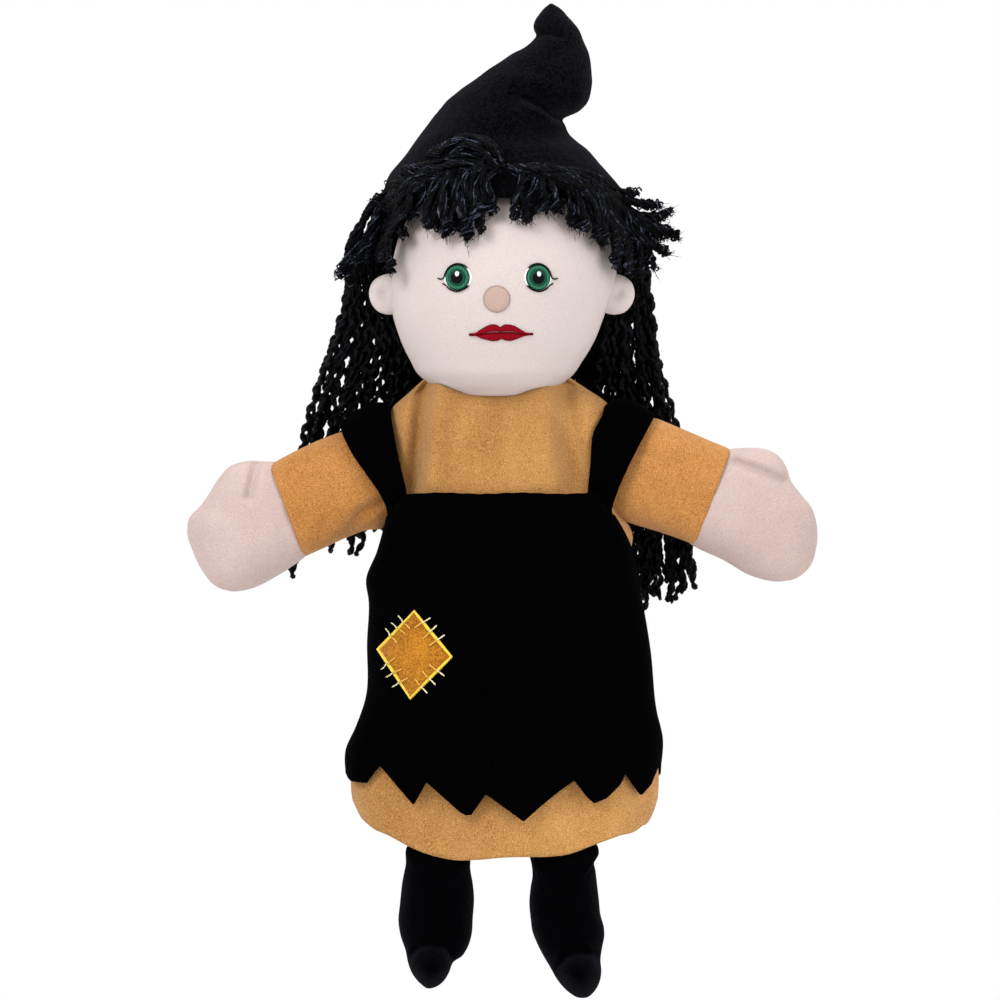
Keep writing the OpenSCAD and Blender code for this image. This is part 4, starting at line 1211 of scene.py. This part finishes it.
def make_long_hair():
    rng = np.random.default_rng(71)
    for side in ("left", "right"):
        paths = side_lock_paths(side, 32, rng)
        piece = add_strands(f"long_yarn_{side}", paths, YARN, YARN_R, 0.85, 8.6, 10, 72)
        finish_piece(piece, None, (f"hair_{side}", f"hair_tail_{side}"))
        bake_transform(piece)
    piece = add_strands("long_yarn_back", back_lock_paths(88, rng), YARN, YARN_R, 0.85, 8.6, 8, 73)
    finish_piece(piece, None, ("hair_back", "hair_tail_back"))
    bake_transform(piece)


def fringe_y(x, z):
    """Front of the brow yarn: in front of the hat above its edge and of the forehead below it."""
    reach = np.where(z > 253, HAT_DEPTH(z), np.maximum(HEAD_R(np.clip(z, 200, 252)) + 0.8, 38.5))
    wide = reach + 7
    return -reach * np.sqrt(np.maximum(0.02, 1 - (np.minimum(np.abs(x), wide) / wide) ** 2))


FRINGE_STRANDS = (
    ("yarn", YARN, 1.15, 7.6, 9),
    ("curls", YARN, 0.44, 3.4, 5),
    ("glints", YARN_LIT, 0.3, 3.4, 5),
    ("fibres", YARN, 0.13, 3.0, 4),
)

FRINGE = {
    "right": (
        ((0.2, 263.5), (-7.9, 271), (-15.1, 273), (-22, 269.8), (-27, 264)),
        ((0.2, 262.6), (-12.4, 265.5), (-25.9, 264.6), (-36.7, 259), (-43, 253)),
        ((-3.4, 260.8), (-21.4, 261), (-39.4, 255), (-52.4, 249.6)),
        ((-24, 261), (-36.7, 256.6), (-45.7, 249.5), (-53, 245.0)),
        ((-8, 266), (-13.4, 258), (-9.8, 246.3), (-9.2, 235.6)),
        ((-13, 266), (-17, 256), (-16.4, 244), (-16.4, 233.4)),
        ((-18, 266), (-21.4, 256.2), (-22.2, 244.5), (-21.8, 233.8)),
        ((-22, 265), (-26.8, 256.3), (-28.6, 246.3), (-26.8, 236.4)),
        ((-4, 264), (-7, 258), (-6.5, 251.8), (-7.6, 244.0)),
        ((-28, 263), (-32.4, 256.4), (-35, 248), (-36.6, 240.9)),
        ((-30, 262), (-37, 255), (-42, 246), (-44, 234)),
        ((-36, 258), (-45, 248), (-51, 236), (-53.5, 223)),
        ((-40, 256), (-50, 247), (-57, 234), (-59.5, 218)),
        ((-36, 254), (-41, 244), (-45, 232), (-45.5, 221.5)),
    ),
    "left": (
        ((3.8, 263.2), (19.1, 261.5), (32.6, 257.5), (46.1, 252.5), (61, 251.5)),
        ((10.1, 262), (28.1, 257), (41.6, 250), (57.8, 242), (67.5, 236)),
        ((28.1, 258), (41.6, 246.5), (55, 236), (65.5, 226.5)),
        ((32.6, 259.1), (46.1, 244.7), (51, 232), (52, 220)),
        ((6.5, 263), (7.0, 255), (6.8, 248), (9.2, 241.8)),
        ((11, 263), (12.6, 255), (12.4, 249), (14.5, 242.8)),
        ((16, 262), (18.2, 255), (17.8, 250), (20, 245)),
        ((21, 262), (24.6, 254.3), (27.2, 246.3), (27.6, 237.6)),
        ((26, 261), (30, 253.3), (33.5, 244.5), (34.6, 233.2)),
        ((31, 260), (36.4, 252.5), (39.4, 242.7), (39.6, 231.8)),
        ((36, 257), (41.6, 248.9), (44.3, 238.3), (43.6, 227)),
        ((0.5, 263.5), (8, 262), (18, 260), (30, 256), (42, 251)),
        ((38, 254), (48, 247), (58, 243), (67.0, 243)),
        ((38, 254), (43.5, 240), (46, 228), (45.0, 219)),
    ),
}
FRAY_LENGTH = 3.2


def fringe_lock(guide, clumps, spread, rng):
    """Clumps that wander round one guide: thick yarn, and loose fibres that curl up at their ends."""
    locks = {"yarn": [], "curls": [], "glints": []}
    count = 72
    base = resample_line(guide, count)
    along = np.gradient(base, axis=0)
    along /= np.linalg.norm(along, axis=1, keepdims=True)
    across = np.stack([-along[:, 1], along[:, 0]], 1)
    length = np.linalg.norm(np.diff(base, axis=0), axis=1).sum()
    for clump in range(clumps):
        place = spread * (2 * (clump + 0.5) / clumps - 1) + rng.uniform(-0.8, 0.8)
        end = count - rng.integers(0, 15)
        depth, beat, phase = rng.uniform(0.8, 5.4), rng.uniform(4, 9), rng.uniform(0, TAU)
        drift = rng.uniform(-2.4, 2.4)
        for k in range(15):
            kind = "yarn" if k < 2 else "glints" if k < 5 else "curls"
            first, last = rng.integers(0, 20), end - rng.integers(0, 6)
            t = np.linspace(0, 1, count)[first:last]
            run = t * length
            ring, turn = (0.7 if kind == "yarn" else 1.45) * math.sqrt(rng.uniform()), rng.uniform(0, TAU)
            knob = ramp(run, run[-1] - 6.5, run[-1] - 2.5)
            curl = (0.2 if kind == "yarn" else 1.5) * knob * rng.uniform(0.5, 1) + (kind != "yarn") * 0.1
            spin = turn + run * TAU / rng.uniform(3.0, 5.0)
            swirl = turn + run * TAU / 24
            shift = place * (0.5 + 0.6 * t) + drift * t * t + 1.1 * np.sin(t * beat + phase)
            shift = shift + ring * np.cos(swirl) + curl * np.cos(spin)
            lift = 1.0 + depth * np.sin(math.pi * np.minimum(1, 0.25 + 0.75 * t)) ** 0.6
            lift = lift + 0.8 * np.sin(t * beat * 1.7 + phase) + ring * np.sin(swirl) + curl * np.sin(spin)
            flat = base[first:last] + across[first:last] * shift[:, None]
            # Glint fibres, coloured with painted highlights, sit a little in front of the rest.
            y = fringe_y(flat[:, 0], flat[:, 1]) - lift - 0.25 * (kind == "glints")
            path = np.stack([flat[:, 0], y, flat[:, 1]], 1)
            locks[kind].append(resample(path, 0.85 if kind == "yarn" else 0.6))
    return locks


def frayed_end(strand, rng, count=7):
    """Loose fibres fanning out of a strand's cut end."""
    tip = strand[-1]
    way = strand[-1] - strand[-4]
    way /= np.linalg.norm(way)
    hairs = []
    for _ in range(count):
        push = way + rng.normal(0, 0.33, 3)
        bend = rng.normal(0, 0.35, 3)
        length = FRAY_LENGTH * rng.uniform(0.35, 1.0)
        start = tip - way * rng.uniform(0.2, 1.6) + rng.normal(0, 0.45, 3)
        t = np.linspace(0, 1, 5)[:, None]
        hairs.append(start + push * length * t + bend * length * t ** 2)
    return hairs


def stray_fibres(strands, rng, share=0.5):
    """Loose fibres lying along the strands."""
    hairs = []
    for strand in strands:
        if rng.uniform() > share or len(strand) < 12:
            continue
        first = rng.integers(0, len(strand) // 2)
        part = strand[first:first + rng.integers(8, 16)][::2]
        hairs.append(part + rng.normal(0, 0.25, part.shape) + rng.normal(0, 0.9, 3))
    return hairs


def make_fringe():
    rng = np.random.default_rng(81)
    for side in ("left", "right"):
        strands = {"yarn": [], "curls": [], "glints": [], "fibres": []}
        for guide in FRINGE[side]:
            for kind, paths in fringe_lock(guide, 3, 3.2, rng).items():
                strands[kind] += paths
        strands["fibres"] = [hair for strand in strands["yarn"] for hair in frayed_end(strand, rng)]
        strands["fibres"] += stray_fibres(strands["yarn"], rng)
        for kind, material, radius, period, sides in FRINGE_STRANDS:
            piece = add_strands(f"fringe_{side}_{kind}", strands[kind], material, radius, 0.88, period,
                                sides, 82)
            finish_piece(piece, "head", (f"fringe_{side}",))


# ---- what is inside ----------------------------------------------------------------------------

def make_neck_gather():
    """Ring of small pleats where the dress is drawn in under the head."""
    cols, rows = 160, 14
    a = np.linspace(0, TAU, cols, endpoint=False)
    t = np.linspace(0, 1, rows)
    z = 171 + 5.4 * t[:, None] + 0 * a
    r = 17.0 + 1.4 * np.sin(math.pi * t)[:, None] + 0.8 * np.cos(a * 22)
    grid = np.stack([r * np.cos(a), r * 0.82 * np.sin(a), z], -1)
    piece = thicken(add_grid("neck_pleats", grid, TAN, True), 1.0)
    finish_piece(piece, "neck", ("neck_gather",))


def dress_cad_nodes():
    """Materials for the CAD parts that still show."""
    left = {"neck_tube": LINING, "finger_pocket": TAN}
    for name, material in left.items():
        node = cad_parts[name]
        node.data.materials.clear()
        node.data.materials.append(material)


make_dress()
make_hem()
make_tunic()
make_straps()
make_patch()
make_head()
make_ears()
make_eyes()
make_nose()
make_lips()
make_hat()
make_sleeves()
make_hands()
make_legs()
make_long_hair()
make_fringe()
make_neck_gather()
dress_cad_nodes()
